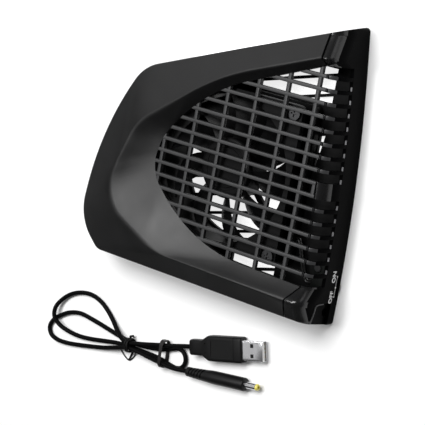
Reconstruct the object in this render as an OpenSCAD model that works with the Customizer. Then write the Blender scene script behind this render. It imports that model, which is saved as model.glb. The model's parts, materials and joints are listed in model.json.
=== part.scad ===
// Console cooling fan: a shallow five-sided case with a sunken grille, a gloss end
// piece whose louvres wrap round the right edge, a 92 mm fan, and its power lead.
// The case lies on its back: X runs along the slats, Y along the upright bars,
// and Z points out of the grille. The lead lies on the same surface.

/* [Case] */
// Width of the case outline that the corner shares follow
case_w = 172; // [160:1:190]
// Height of the case outline that the corner shares follow
case_h = 168; // [158:1:186]
// Height of the grille's face above the back
grille_z = 28.7; // [28.4:0.1:34]
// Height of the raised rim above the grille's face
rim_rise = 6.3; // [4:0.1:8]
// Drop of the outer edge below the grille's face
edge_drop = 1; // [0.5:0.1:2.5]
// How far the outer wall leans in from back to front
wall_lean_in = 3; // [1:0.1:4]
// Wall of the moulded shells
wall = 2.2; // [1.8:0.1:2.6]
// Half width of the rounded top of the rim
rim_round = 0.8; // [0.5:0.1:1.2]

/* [Grille] */
// Thickness of the slats and bars
slat_t = 2.5; // [2:0.1:2.8]
// Width of one slat
slat_w = 2.1; // [1.6:0.1:2.6]
// Distance from slat to slat
slat_pitch = 7.3; // [6.5:0.1:8.5]
// Width of one upright bar
bar_w = 2.2; // [1.8:0.1:3]
// Distance from bar to bar
bar_pitch = 19.7; // [17:0.1:23]

/* [End piece] */
// Gap between the two shells at their seam
seam_gap = 1; // [0.6:0.1:1.4]
// Distance from the side face to the seam
seam_in = 8.3; // [8:0.1:9]
// Lean of the side face at its top end
side_lean = 8.75; // [7:0.25:10]
// Radius of the side face's long bow
side_bow_r = 940; // [800:10:1000]
// Radius of the upright corners at both ends of the side face
side_corner_r = 2.5; // [2:0.5:5]
// Width of the bend from the front to the side face
bend_w = 7.6; // [6.5:0.1:7.8]
// Height of that bend
bend_h = 14; // [11:0.5:15]
// Width of one louvre rib
rib_w = 2.2; // [1.8:0.1:2.6]
// Height of the slots' low ends at the bottom of the side face
slot_low_z = 16; // [15:0.1:20]
// Height of the slots' low ends at the top of the side face
slot_high_z = 13.8; // [12:0.1:16]

/* [Rear cover] */
// Thickness of the rear cover
rear_t = 2; // [1.6:0.1:2.4]
// Depth of the rear cover below the rim of the case, and the pads' thickness
pad_t = 1; // [0.8:0.1:1.4]
// Gap round the rear cover
rear_gap = 0.3; // [0.2:0.05:0.5]
// Width of one rear rib
rear_rib_w = 1.8; // [1.5:0.1:2.4]
// Distance from rear rib to rear rib
rear_rib_pitch = 11; // [9:0.5:14]
// Slope of the rear ribs
rear_rib_angle = 15; // [10:1:20]
// Radius of one rubber pad
pad_r = 5; // [4:0.5:6]

/* [Fan] */
// Width of the square fan frame
fan_w = 92; // [90:0.5:93]
// Thickness of the fan
fan_t = 20; // [18:0.5:20]
// Distance from the fan's edge to the middle of a corner hole
fan_hole_in = 4.75; // [4.5:0.05:5]
// Radius of a fan corner hole
fan_hole_r = 2.15; // [2:0.05:2.4]
// Least wall round the duct, from the duct to the fan's edge
duct_edge = 3; // [2.6:0.1:4]
// Gap from blade tip to duct
tip_gap = 1.2; // [0.8:0.1:2]
// Outer radius of the rotor hub
hub_r = 18; // [16:0.5:20]
// Number of blades
blades = 9; // [7:1:9]
// Thickness of one blade
blade_t = 1.3; // [1:0.1:1.8]
// Radius of the motor shaft
shaft_r = 1.5; // [1.3:0.05:1.6]
// Running clearance between shaft and bearing
shaft_gap = 0.05; // [0.03:0.01:0.09]

/* [Switch and power socket] */
// Travel of the switch to each side of its middle
switch_travel = 4; // [2:0.25:4]
// Length of the switch knob
knob_l = 4; // [3:0.5:5]
// Height of the switch knob
knob_h = 1.6; // [1.2:0.1:1.8]
// How far the knob stands out of the side face
knob_out = 1; // [0.6:0.1:1.4]
// Radius of the hole that the plug goes through
socket_hole_r = 2.4; // [2.2:0.05:2.6]
// Radius of the socket's own bore
socket_r = 2.1; // [2.05:0.05:2.2]
// Depth of the recess round the socket
recess_d = 1.8; // [1:0.1:2]

/* [Lead] */
// Diameter of the lead
cord_d = 2.8; // [2.4:0.1:3]
// Width of the USB shell
usb_w = 12; // [11.8:0.1:12.2]
// Height of the USB shell
usb_h = 4.5; // [4.3:0.1:4.7]
// Exposed length of the USB shell
usb_l = 14.8; // [12:0.1:15.5]
// Outer diameter of the power plug's barrel
barrel_d = 4; // [3.8:0.1:4]

/* [Hidden] */

// Shared small values
cut = 1;                 // overrun of every cut
fine = 72;               // facets shown on round parts
skin_gap = 0.3;          // clearance between pieces that don't touch
running_gap = 0.2;       // clearance round the moving knob
fit_gap = 0.02;          // clearance of pieces that are pressed together
arc_steps = 6;           // steps in one rounded corner of an outline
least_r = 0.5;           // least radius that an inset corner keeps
matte_black = [0.13, 0.13, 0.14];
gloss_black = [0.05, 0.05, 0.06];
steel = [0.75, 0.76, 0.78];

// Heights
rim_z = grille_z + rim_rise;
edge_z = grille_z - edge_drop;
rear_z = pad_t;
rear_top = rear_z + rear_t;
plate_z = grille_z - slat_t;
fan_seat = 1;                       // height of the bosses under the fan
fan_z = rear_top + fan_seat;
fan_top = fan_z + fan_t;

// Corner tables: x as a share of case_w, y as a share of case_h, then a radius.
// They go anticlockwise from the top right, and run past the side face on the right.
far_x_share = 0.57;
base_shares = [[far_x_share, 0.5637, 8], [0.058, 0.3774, 1500], [-0.3506, 0.224, 31],
    [-0.495, -0.0402, 180], [-0.5295, -0.3913, 32], [-0.4153, -0.495, 11], [far_x_share, -0.495, 8]];
rim_shares = [[far_x_share, 0.4613, 8], [0.0087, 0.2488, 160], [-0.298, 0.018, 34],
    [-0.358, -0.15, 60], [-0.3831, -0.2839, 22], [-0.1297, -0.4048, 50], [far_x_share, -0.4107, 8]];
mouth_shares = [[far_x_share, 0.4399, 8], [-0.0599, 0.1887, 110], [-0.2, -0.008, 24],
    [-0.2175, -0.085, 18], [-0.2085, -0.1506, 20], [-0.0087, -0.3482, 95], [far_x_share, -0.3601, 8]];
function corners(t) = [for (c = t) [c[0] * case_w, c[1] * case_h, c[2]]];
base_corners = corners(base_shares);
rim_corners = corners(rim_shares);
mouth_corners = corners(mouth_shares);

// The side face rises straight from the low corner, then bows inward up to the top corner
side_x_share = 0.5023;
bow_y_share = -0.0131;
side_x = side_x_share * case_w;
bow_y = bow_y_share * case_h;
bow_low_y = bow_y - side_bow_r * tan(side_lean / 2);
bow_breaks = [for (k = [0 : arc_steps]) bow_low_y + side_bow_r * sin(k * side_lean / arc_steps)];
side_table = concat([[-2 * case_h, side_x]],
    [for (k = [0 : arc_steps]) [bow_breaks[k], side_x - side_bow_r * (1 - cos(k * side_lean / arc_steps))]],
    [[2 * case_h, side_x - (2 * case_h - bow_y) * tan(side_lean)]]);
function side_at(y) = lookup(y, side_table);
function side_turn(y) = y < bow_low_y ? 0 : min(side_lean, asin(min(1, (y - bow_low_y) / side_bow_r)));
base_line_top = base_corners[0];
base_line_mid = base_corners[1];
top_slope = (base_line_top[1] - base_line_mid[1]) / (base_line_top[0] - base_line_mid[0]);
side_top_y = (base_line_mid[1] + top_slope * (side_x + bow_y * tan(side_lean) - base_line_mid[0]))
    / (1 + top_slope * tan(side_lean));
side_low_y = base_corners[6][1];

// Two-dimensional help
function unit(v) = v / norm(v);
function left_of(v) = [-v[1], v[0]];
function spin_of(a, b) = atan2(a[0] * b[1] - a[1] * b[0], a[0] * b[0] + a[1] * b[1]);
// Points of a closed outline with rounded corners, drawn in by inset
function outline(c, inset = 0) = [for (i = [0 : len(c) - 1])
    let (p = [c[i][0], c[i][1]], r = max(c[i][2], inset + least_r),
        q = c[(i + len(c) - 1) % len(c)], n = c[(i + 1) % len(c)],
        d1 = unit(p - [q[0], q[1]]), d2 = unit([n[0], n[1]] - p),
        turn = spin_of(d1, d2),
        m = p - d1 * r * tan(turn / 2) + left_of(d1) * r,
        a0 = atan2(-left_of(d1)[1], -left_of(d1)[0]))
    for (k = [0 : arc_steps]) let (a = a0 + turn * k / arc_steps)
        m + (r - inset) * [cos(a), sin(a)]];
// The true outline of the back, closed by the side face
side_corners = concat(
    [[side_at(side_top_y), side_top_y, side_corner_r]],
    [for (i = [1 : 5]) base_corners[i]],
    [[side_x, side_low_y, side_corner_r], [side_x, bow_y, side_bow_r]]);
back_outline = outline(side_corners);
// The origin is the middle of that outline
mid = [(min([for (p = back_outline) p[0]]) + max([for (p = back_outline) p[0]])) / 2,
    (min([for (p = back_outline) p[1]]) + max([for (p = back_outline) p[1]])) / 2];
module centred() translate([-mid[0], -mid[1], 0]) children();
// Frame of the side face: x out of it, y up along it, z as in the case
module on_side(y, z) translate([side_at(y), y, z]) rotate([0, 0, side_turn(y)]) children();
// A point of the side face's frame in the case's frame
function from_side(y0, p) = let (t = side_turn(y0))
    [side_at(y0) + p[0] * cos(t) - p[1] * sin(t), y0 + p[0] * sin(t) + p[1] * cos(t)];
module at_each(places) for (p = places) translate(p) children();

// A closed skin through outlines that all have the same number of points
function ring_at(points, z) = [for (p = points) [p[0], p[1], z]];
module skin(rings) {
    n = len(rings[0]);
    last = len(rings) - 1;
    polyhedron(
        points = [for (r = rings) for (p = r) p],
        faces = concat(
            [[for (i = [0 : n - 1]) i]],
            [for (k = [0 : last - 1]) for (i = [0 : n - 1]) for (h = [0, 1])
                let (a = k * n + i, b = k * n + (i + 1) % n)
                h == 0 ? [a, a + n, b + n] : [a, b + n, b]],
            [[for (i = [n - 1 : -1 : 0]) last * n + i]]),
        convexity = 6);
}
// A tube along a path, with rings square to it
function tube_rings(path, r, sides) = [for (i = [0 : len(path) - 1])
    let (t = unit(path[min(i + 1, len(path) - 1)] - path[max(i - 1, 0)]),
        s = unit(cross(t, [0, 0, 1])), u = cross(s, t))
    [for (k = [0 : sides - 1]) let (a = 360 * (k + 0.5) / sides)
        path[i] + r * (cos(a) * s + sin(a) * u)]];
module tube(path, r, sides) skin(tube_rings(path, r, sides));
// Smooth points between hand-chosen ones
function spline_point(p, i, t) = let (n = len(p) - 1,
        a = p[max(i - 1, 0)], b = p[i], c = p[min(i + 1, n)], d = p[min(i + 2, n)])
    0.5 * (2 * b + (c - a) * t + (2 * a - 5 * b + 4 * c - d) * t * t
        + (3 * b - a - 3 * c + d) * t * t * t);
function spline(p, steps) = concat([for (i = [0 : len(p) - 2]) for (k = [0 : steps - 1])
    spline_point(p, i, k / steps)], [p[len(p) - 1]]);
module ring(outer, inner, h) difference() {
    cylinder(r = outer, h = h, $fn = fine);
    translate([0, 0, -cut]) cylinder(r = inner, h = h + 2 * cut, $fn = fine);
}
module rounded(w, h, r) {
    square([w - 2 * r, h], center = true);
    square([w, h - 2 * r], center = true);
    for (x = [-1, 1]) for (y = [-1, 1])
        translate([x * (w / 2 - r), y * (h / 2 - r)]) circle(r = r, $fn = 24);
}

// Case shells
inner_edge_share = 0.8;
inner_rim_share = 1.15;
mouth_lap = 1.5;
bevel = 0.8;
tall = rim_z + 2 * cut;
module outer_skin() skin([
    ring_at(outline(base_corners), 0),
    ring_at(outline(base_corners, wall_lean_in), edge_z),
    ring_at(outline(base_corners, wall_lean_in + bevel), edge_z + bevel),
    ring_at(outline(rim_corners, -rim_round), rim_z - rim_round / 3),
    ring_at(outline(rim_corners), rim_z),
    ring_at(outline(rim_corners, rim_round), rim_z - rim_round / 2),
    ring_at(outline(mouth_corners), grille_z)]);
module inner_skin() skin([
    ring_at(outline(base_corners, wall), -cut),
    ring_at(outline(base_corners, wall_lean_in + wall), edge_z - wall * inner_edge_share),
    ring_at(outline(rim_corners), rim_z - wall * inner_rim_share),
    ring_at(outline(mouth_corners, -mouth_lap), plate_z)]);
// Everything that lies more than d inward of the side face
far = 2 * case_w;
side_sheet = [[side_at(far), far, side_corner_r], [-far, far, side_corner_r], [-far, -far, side_corner_r],
    [side_x, -far, side_corner_r], [side_x, bow_y, side_bow_r]];
module inward(d) translate([0, 0, -2 * cut]) linear_extrude(tall + 3 * cut) polygon(outline(side_sheet, d));
trough_top = mouth_corners[0][1] - (mouth_corners[0][0] - side_x + bend_w) * top_slope;
trough_low = mouth_corners[6][1];
rim_top = rim_corners[0][1] - (rim_corners[0][0] - side_x + bend_w) * top_slope;
rim_low = rim_corners[6][1];
// The front's height along the side face, as pairs of y and z
bend_profile = [[-case_h, edge_z], [side_low_y + wall_lean_in, edge_z], [rim_low, rim_z],
    [trough_low, grille_z],
    [trough_top, grille_z], [rim_top, rim_z], [side_top_y - wall_lean_in, edge_z], [case_h, edge_z]];
bend_ys = concat([for (i = [0 : len(bend_profile) - 2])
    let (y0 = bend_profile[i][0], y1 = bend_profile[i + 1][0])
    for (y = concat([y0], [for (b = bow_breaks) if (b > y0 && b < y1) b])) y], [case_h]);
bend_lift = 0.2;
bend_steps = 8;
// Cross-section of what is cut away to round the front edge, for a wall d inside the outer face
function bend_ring(y, d) = let (z = lookup(y, bend_profile) + bend_lift - d, w = bend_w - d, h = bend_h - d,
        t = side_turn(y), e = [cos(t), sin(t), 0], o = [side_at(y), y, 0] - d * e)
    concat([for (k = [0 : bend_steps]) let (a = 90 * k / bend_steps)
            o + (w * cos(a) - w) * e + [0, 0, z - h + h * sin(a)]],
        [o - w * e + [0, 0, z + bend_h], o + bend_h * e + [0, 0, z + bend_h], o + bend_h * e + [0, 0, z - h]]);
module bend_region(d) skin([for (y = bend_ys) bend_ring(y, d)]);
module shells() difference() {
    intersection() {
        outer_skin();
        translate([0, 0, -cut]) linear_extrude(tall + cut) polygon(back_outline);
    }
    difference() {
        intersection() {
            inner_skin();
            inward(wall);
        }
        bend_region(wall);
    }
    bend_region(0);
}
// The seam runs beside the side face, and steps away from it below the grille
function seam_at(y) = side_at(y) - seam_in;
seam_foot_shares = [[0.4244, -0.4071], [0.4122, -0.4756]];
seam_foot = [for (s = seam_foot_shares) [s[0] * case_w, s[1] * case_h]];
seam_path = concat([[seam_at(far), far]],
    [for (k = [arc_steps : -1 : 1]) [seam_at(bow_breaks[k]), bow_breaks[k]]],
    [[seam_at(trough_low), trough_low]], seam_foot, [[seam_foot[1][0], -far]]);
module left_of_seam() translate([0, 0, -2 * cut]) linear_extrude(tall + 3 * cut)
    polygon(concat(seam_path, [[-far, -far], [-far, far]]));
module right_of_seam() translate([seam_gap, 0, -2 * cut]) linear_extrude(tall + 3 * cut)
    polygon(concat(seam_path, [[far, -far], [far, far]]));

// Rows of slats and columns of bars
first_slat_share = 0.336;
first_bar_share = 0.378;
first_slat = first_slat_share * case_h;
first_bar = first_bar_share * case_w;
rows = floor((first_slat - trough_low - slat_w) / slat_pitch);
columns = floor((first_bar - mouth_corners[2][0]) / bar_pitch);
// The solid patch of the end piece lies between these two slats
patch_row = floor(rows / 2) + 1;
module slats_2d(w) for (i = [0 : rows])
    translate([-case_w, first_slat - i * slat_pitch - w / 2]) square([2 * case_w, w]);
module bars_2d() for (j = [0 : columns])
    translate([first_bar - j * bar_pitch - bar_w / 2, -case_h]) square([bar_w, 2 * case_h]);
module patch_bar_2d() translate([seam_at(first_slat - patch_row * slat_pitch) - bar_w,
    first_slat - (patch_row + 1) * slat_pitch]) square([bar_w * 2, slat_pitch]);
module gaps_2d() difference() {
    polygon(outline(mouth_corners));
    slats_2d(slat_w);
    bars_2d();
    patch_bar_2d();
}

// Bosses for the case screws: four in the front shell, two in the end piece
boss_r = 2.6;
boss_bore_r = 1.1;
boss_depth = 7;
front_boss_shares = [[-0.268, 0.2025], [-0.418, -0.19], [-0.33, -0.42], [0.2, -0.4506]];
cap_boss_shares = [0.4, -0.235];
front_bosses = [for (s = front_boss_shares) [s[0] * case_w, s[1] * case_h, 0]];
cap_boss_in = wall + boss_r + skin_gap;
cap_bosses = [for (s = cap_boss_shares) let (y = s * case_h)
    concat(from_side(y, [-cap_boss_in, 0]), 0)];
cap_boss_h = slot_high_z - rear_top - skin_gap;
module boss(h, r = boss_r) difference() {
    translate([0, 0, rear_top]) cylinder(r = r, h = h, $fn = fine);
    translate([0, 0, rear_top - cut]) cylinder(r = boss_bore_r, h = boss_depth + cut, $fn = fine);
}

module front_cover() color(matte_black) centred() {
    difference() {
        intersection() {
            shells();
            left_of_seam();
        }
        translate([0, 0, plate_z - cut]) linear_extrude(slat_t + 2 * cut) gaps_2d();
    }
    intersection() {
        at_each(front_bosses) boss(rim_z - rear_top);
        translate([0, 0, cut]) linear_extrude(tall) polygon(outline(base_corners, wall));
        outer_skin();
    }
}

// End piece
slot_w = slat_pitch - rib_w;
slot_reach = 2 * bend_w;
function slot_z(y) = slot_low_z + (slot_high_z - slot_low_z) * (y - trough_low) / (trough_top - trough_low);
module slots() for (i = [0 : rows]) if (i < patch_row || i > patch_row) {
    y = first_slat - (i + 1 / 2) * slat_pitch;
    if (y - slot_w / 2 > trough_low) translate([seam_at(y) - slot_reach, y - slot_w / 2, slot_z(y)])
        cube([3 * slot_reach, slot_w, tall]);
}
// The slot above the first rib
module top_slot() {
    y = first_slat + slat_pitch / 2;
    translate([seam_at(y) - slot_reach, y - slot_w / 2, slot_z(y)])
        cube([3 * slot_reach, min(slot_w, trough_top - y), tall]);
}
recess_r = 3;
switch_y_share = -0.36;
switch_y = switch_y_share * case_h;
knob_z = pad_t + knob_h / 2 + skin_gap;
window_h = knob_h + 2 * running_gap;
window_l = knob_l + 2 * switch_travel + 2 * running_gap;
jack_y_share = -0.4464;
jack_y = jack_y_share * case_h;
board_t = 1.2;
board_z = rear_top + 1.4;
jack_h = 6;
jack_w = 5.6;
jack_d = 8;
jack_z = board_z + board_t + jack_h / 2;
recess_top = 5.8;     // from the socket's centre up to the top of the recess
recess_front = 13.4;  // from the socket's centre to the recess's front wall
recess_back = 2.7;    // from the socket's centre to the recess's back wall
recess_side = 1.4;    // wall beside the recess
recess_h = recess_front + recess_back;
module recess_2d() {
    translate([-recess_front, -case_h]) square([recess_h, case_h + recess_top - recess_r]);
    translate([recess_r - recess_front, 0]) square([recess_h - 2 * recess_r, recess_top]);
    for (x = [recess_r - recess_front, recess_back - recess_r]) translate([x, recess_top - recess_r])
        circle(r = recess_r, $fn = fine);
}
module socket_recess() on_side(jack_y, jack_z) translate([-recess_d, 0, 0]) rotate([0, 90, 0])
    linear_extrude(2 * recess_d) recess_2d();
module end_cap() color(gloss_black) centred() difference() {
    union() {
        intersection() {
            shells();
            right_of_seam();
        }
        // The wall behind the socket's recess
        intersection() {
            on_side(jack_y, jack_z) translate([-recess_d - wall, -case_h, -recess_back - wall])
                cube([recess_d + wall, case_h + recess_top + recess_side, recess_h + 2 * wall]);
            translate([0, 0, rear_top + skin_gap]) linear_extrude(edge_z - rear_top - wall)
                polygon(outline(side_corners, wall / 2));
            outer_skin();
        }
        at_each(cap_bosses) boss(cap_boss_h, cap_boss_in - wall + skin_gap);
    }
    slots();
    top_slot();
    socket_recess();
    on_side(jack_y, jack_z) rotate([0, 90, 0]) translate([0, 0, -recess_d - wall - cut])
        cylinder(r = socket_hole_r, h = recess_d + wall + 2 * cut, $fn = fine);
    on_side(switch_y, knob_z) translate([-wall - cut, -window_l / 2, -window_h / 2])
        cube([wall + 2 * cut, window_l, window_h]);
}

// Rear cover: a plate with a round fan opening and two vents, crossed by sloping ribs
fan_shares = [0.0552, -0.0565];
fan_mid = [fan_shares[0] * case_w, fan_shares[1] * case_h, 0];
most_fan_share = 0.55;
fan_side = min(fan_w, most_fan_share * min(case_w, case_h)); // a small case takes a smaller fan
duct_r = fan_side / 2 - duct_edge;
fan_holes = fan_side - 2 * fan_hole_in;
rear_lip = 1.2;       // plate left inside the duct's edge
vent_edge = 5.5;      // plate left round the vents
vent_gap = 1.5;       // plate left between the upper vent and the fan's frame
screw_r = 1.4;
screw_head_r = 2.6;
head_h = 1.6;
module fan_places(z) for (x = [-1, 1]) for (y = [-1, 1])
    translate(fan_mid + [x * fan_holes / 2, y * fan_holes / 2, z]) children();
// The cover's edge keeps clear of the leaning wall all the way up
rear_in = wall + rear_gap + wall_lean_in * (rear_top + cut) / edge_z;
module plate_2d(inset) polygon(outline(side_corners, inset));
top_vent = [50, 21];  // width and height of the upper vent
low_vent = [31, 7];   // the same for the lower vent
low_vent_gap = 4.5;   // from the fan's frame down to the lower vent
slit = [0.5, 4.2, 22]; // the slit beside the fan: its start, its wide end and its length
fan_right = fan_mid[0] + fan_side / 2;
fan_above = fan_mid[1] + fan_side / 2;
fan_below = fan_mid[1] - fan_side / 2;
slit_y = fan_above - slit[2] - 3 * low_vent_gap;
module vents_2d() {
    translate([fan_mid[0], fan_mid[1]]) circle(r = duct_r - rear_lip, $fn = fine);
    intersection() {
        plate_2d(rear_in + vent_edge);
        translate([fan_mid[0], fan_above + vent_gap]) square(top_vent);
    }
    polygon([[fan_right + slit[0], slit_y], [fan_right + 2 * slit[0], slit_y],
        [fan_right + slit[1], slit_y + slit[2]],
        [fan_right + slit[0], slit_y + slit[2]]]);
    translate([fan_mid[0] + low_vent_gap / 2, fan_below - low_vent_gap - low_vent[1]]) square(low_vent);
}
rear_ribs = floor(case_h * 1.4 / rear_rib_pitch);
module ribs_2d() rotate(rear_rib_angle) for (i = [-rear_ribs / 2 : rear_ribs / 2])
    translate([-case_w, i * rear_rib_pitch - rear_rib_w / 2]) square([2 * case_w, rear_rib_w]);
pad_shares = [[-0.37, -0.36], [-0.32, 0.12], [0.2907, 0.119], [0.302, -0.226]];
pads = [for (s = pad_shares) [s[0] * case_w, s[1] * case_h, 0]];
module rear_cover() color(matte_black) centred() difference() {
    union() {
        translate([0, 0, rear_z]) linear_extrude(rear_t) difference() {
            plate_2d(rear_in);
            difference() {
                vents_2d();
                ribs_2d();
            }
        }
        translate([0, 0, rear_z]) at_each([fan_mid]) ring(hub_r / 2, hub_r / 2 - rear_rib_w, rear_t);
        fan_places(rear_z) cylinder(r = fan_hole_r * 2, h = rear_t + fan_seat, $fn = fine);
        board_posts(rear_z, board_z - rear_z, boss_r);
    }
    fan_places(rear_z - cut) cylinder(r = screw_r, h = fan_t, $fn = fine);
    at_each(concat(front_bosses, cap_bosses)) translate([0, 0, rear_z - cut])
        cylinder(r = screw_r + skin_gap, h = rear_t + 2 * cut, $fn = fine);
    board_posts(rear_z + head_h / 2, fan_t, boss_bore_r);
    // Room for the switch, whose knob slides in the rim
    on_side(switch_y, 0) translate([-switch_d - wall - 2 * skin_gap, -switch_l / 2 - skin_gap, -cut])
        cube([switch_d + wall + 3 * skin_gap, switch_l + 2 * skin_gap, fan_t]);
}

module rubber_pads() color([0.09, 0.09, 0.09]) centred() at_each(pads)
    cylinder(r = pad_r, h = pad_t, $fn = fine);

// Fan frame: two square flanges, a round duct, a motor base on four arms
flange_t = 4;
frame_corner_r = 4;
duct_wall = 1.6;
arm_w = 3.2;
arm_t = 2.4;
base_r = hub_r - 2;
base_t = 1.6;
tube_outer = 4.2;
tube_h = 12;
tube_inner = shaft_r + shaft_gap + 1.5;
module flange() linear_extrude(flange_t) rounded(fan_side, fan_side, frame_corner_r);
module fan_frame() color([0.1, 0.1, 0.11]) centred() translate(fan_mid + [0, 0, fan_z]) {
    difference() {
        union() {
            flange();
            translate([0, 0, fan_t - flange_t]) flange();
            cylinder(r = duct_r + duct_wall, h = fan_t, $fn = fine);
        }
        translate([0, 0, -cut]) cylinder(r = duct_r, h = fan_t + 2 * cut, $fn = fine);
        for (x = [-1, 1]) for (y = [-1, 1]) translate([x * fan_holes / 2, y * fan_holes / 2, -cut])
            cylinder(r = fan_hole_r, h = fan_t + 2 * cut, $fn = fine);
    }
    difference() {
        union() {
            cylinder(r = base_r, h = base_t, $fn = fine);
            for (a = [45 : 90 : 315]) rotate([0, 0, a]) translate([base_r - duct_wall, -arm_w / 2, 0])
                cube([duct_r - base_r + duct_wall * 3 / 2, arm_w, arm_t]);
            cylinder(r = tube_outer, h = tube_h, $fn = fine);
        }
        translate([0, 0, base_t / 2]) cylinder(r = tube_inner, h = tube_h, $fn = fine);
    }
}

// Rotor: a cup with curved blades, its shaft, and the motor inside it
hub_top = fan_t - 1.2;
hub_floor = arm_t + 1.2;
hub_wall = 1.4;
hub_cap = 1.6;
boss_len = 3;
blade_low = hub_floor + 0.6;
blade_high = hub_top - 1;
blade_start = 30;     // angle of the first blade's root
blade_share = 0.84;   // part of the pitch that one blade spans at its root
tip_share = 0.74;     // the same at its tip
blade_sweep = blade_share * 360 / blades;
blade_tip_sweep = tip_share * 360 / blades;
blade_lead = 14;      // how far the tip is carried forward
blade_bow = 2.2;      // height of the blade's curve
stations = 5;
chord_steps = 6;
function blade_section(s, top) = let (r = hub_r - hub_wall / 2 + s * (duct_r - tip_gap - hub_r + hub_wall / 2),
        sweep = blade_sweep + (blade_tip_sweep - blade_sweep) * s)
    [for (k = [0 : chord_steps]) let (u = k / chord_steps,
            a = sweep * (u - 1 / 2) + blade_lead * s * s,
            z = blade_low + (blade_high - blade_low - blade_t) * u
                + blade_bow * sin(180 * u) * (1 - s / 2))
        [r * cos(a), r * sin(a), z + (top ? blade_t : 0)]];
function reversed(v) = [for (i = [len(v) - 1 : -1 : 0]) v[i]];
// The same skin as above, but its end faces are strips, because they are curved
module blade() {
    n = 2 * (chord_steps + 1);
    top = stations * n;
    polyhedron(
        points = [for (i = [0 : stations]) let (s = i / stations)
            for (p = concat(blade_section(s, false), reversed(blade_section(s, true)))) p],
        faces = concat(
            [for (k = [0 : chord_steps - 1]) for (h = [0, 1])
                let (a = k, b = k + 1, c = n - 2 - k, d = n - 1 - k)
                h == 0 ? [a, b, c] : [a, c, d]],
            [for (k = [0 : stations - 1]) for (i = [0 : n - 1]) for (h = [0, 1])
                let (a = k * n + i, b = k * n + (i + 1) % n)
                h == 0 ? [a, a + n, b + n] : [a, b + n, b]],
            [for (k = [0 : chord_steps - 1]) for (h = [0, 1])
                let (a = k, b = k + 1, c = n - 2 - k, d = n - 1 - k)
                h == 0 ? [top + c, top + b, top + a] : [top + d, top + c, top + a]]),
        convexity = 4);
}
module fan_rotor() color([0.16, 0.16, 0.17]) centred() translate(fan_mid + [0, 0, fan_z]) {
    difference() {
        union() {
            rotate_extrude($fn = fine) polygon([[0, hub_top - hub_cap], [hub_r - hub_wall, hub_top - hub_cap],
                [hub_r - hub_wall, hub_floor], [hub_r, hub_floor], [hub_r, hub_top - hub_cap],
                [hub_r - hub_cap, hub_top], [0, hub_top]]);
            translate([0, 0, hub_top - hub_cap - boss_len])
                cylinder(r = 2 * shaft_r, h = boss_len + hub_cap / 2, $fn = fine);
        }
        translate([0, 0, hub_top - hub_cap - boss_len - cut])
            cylinder(r = shaft_r, h = boss_len + cut + hub_cap / 2, $fn = fine);
    }
    for (i = [0 : blades - 1]) rotate([0, 0, blade_start + i * 360 / blades]) blade();
}
shaft_low = base_t / 2 + 1;
module rotor_shaft() color(steel) centred() translate(fan_mid + [0, 0, fan_z]) difference() {
    translate([0, 0, shaft_low]) cylinder(r = shaft_r, h = hub_top - hub_cap / 2 - shaft_low, $fn = fine);
    translate([0, 0, clip_z - skin_gap]) ring(shaft_r + cut, shaft_r - clip_groove, clip_t + 2 * skin_gap);
}
clip_z = base_t + 1.5;
clip_t = 0.5;
clip_groove = 0.35;
module shaft_clip() color([0.9, 0.9, 0.85]) centred() translate(fan_mid + [0, 0, fan_z + clip_z])
    ring(shaft_r + clip_groove * 3, shaft_r - clip_groove, clip_t);
bearing_low = clip_z + clip_t + skin_gap;
module sleeve_bearing() color([0.72, 0.55, 0.3]) centred() translate(fan_mid + [0, 0, fan_z + bearing_low])
    ring(tube_inner, shaft_r + shaft_gap, tube_h - bearing_low);
magnet_t = 1.4;
magnet_r = hub_r - hub_wall;
module magnet_ring() color([0.2, 0.2, 0.2]) centred() translate(fan_mid + [0, 0, fan_z + hub_floor + cut])
    ring(magnet_r, magnet_r - magnet_t, hub_top - hub_cap - hub_floor - 2 * cut);
// Four-pole stator
core_low = base_t + 3.6;
core_h = 5;
core_r = magnet_r - magnet_t - 0.6;
pole_w = 4;
shoe_t = 1.6;
shoe_arc = 62;
module stator_core() color([0.5, 0.52, 0.55]) centred()
    translate(fan_mid + [0, 0, fan_z + core_low]) difference() {
    union() {
        cylinder(r = tube_outer + 1.8, h = core_h, $fn = fine);
        for (a = [0 : 90 : 270]) rotate([0, 0, a]) {
            translate([tube_outer, -pole_w / 2, 0]) cube([core_r - tube_outer - shoe_t / 2, pole_w, core_h]);
            intersection() {
                ring(core_r, core_r - shoe_t, core_h);
                linear_extrude(core_h) polygon([[0, 0],
                    for (k = [-1 : 1]) 2 * core_r * [cos(k * shoe_arc / 2), sin(k * shoe_arc / 2)]]);
            }
        }
    }
    translate([0, 0, -cut]) cylinder(r = tube_outer + fit_gap, h = core_h + 2 * cut, $fn = fine);
}
coil_t = 1.3;
coil_gap = 0.05;
module stator_coils() color([0.72, 0.38, 0.18]) centred()
    translate(fan_mid + [0, 0, fan_z + core_low]) for (a = [0 : 90 : 270]) rotate([0, 0, a])
    translate([tube_outer + 1.8 + 0.6, 0, core_h / 2]) rotate([0, 90, 0])
        linear_extrude(core_r - shoe_t - tube_outer - 3) difference() {
        rounded(core_h + 2 * coil_t, pole_w + 2 * coil_t, coil_t);
        square([core_h + 2 * coil_gap, pole_w + 2 * coil_gap], center = true);
    }
module motor_board() color([0.1, 0.2, 0.14]) centred() translate(fan_mid + [0, 0, fan_z + base_t])
    ring(base_r - 2, tube_outer + fit_gap, board_t / 1.2);

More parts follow.
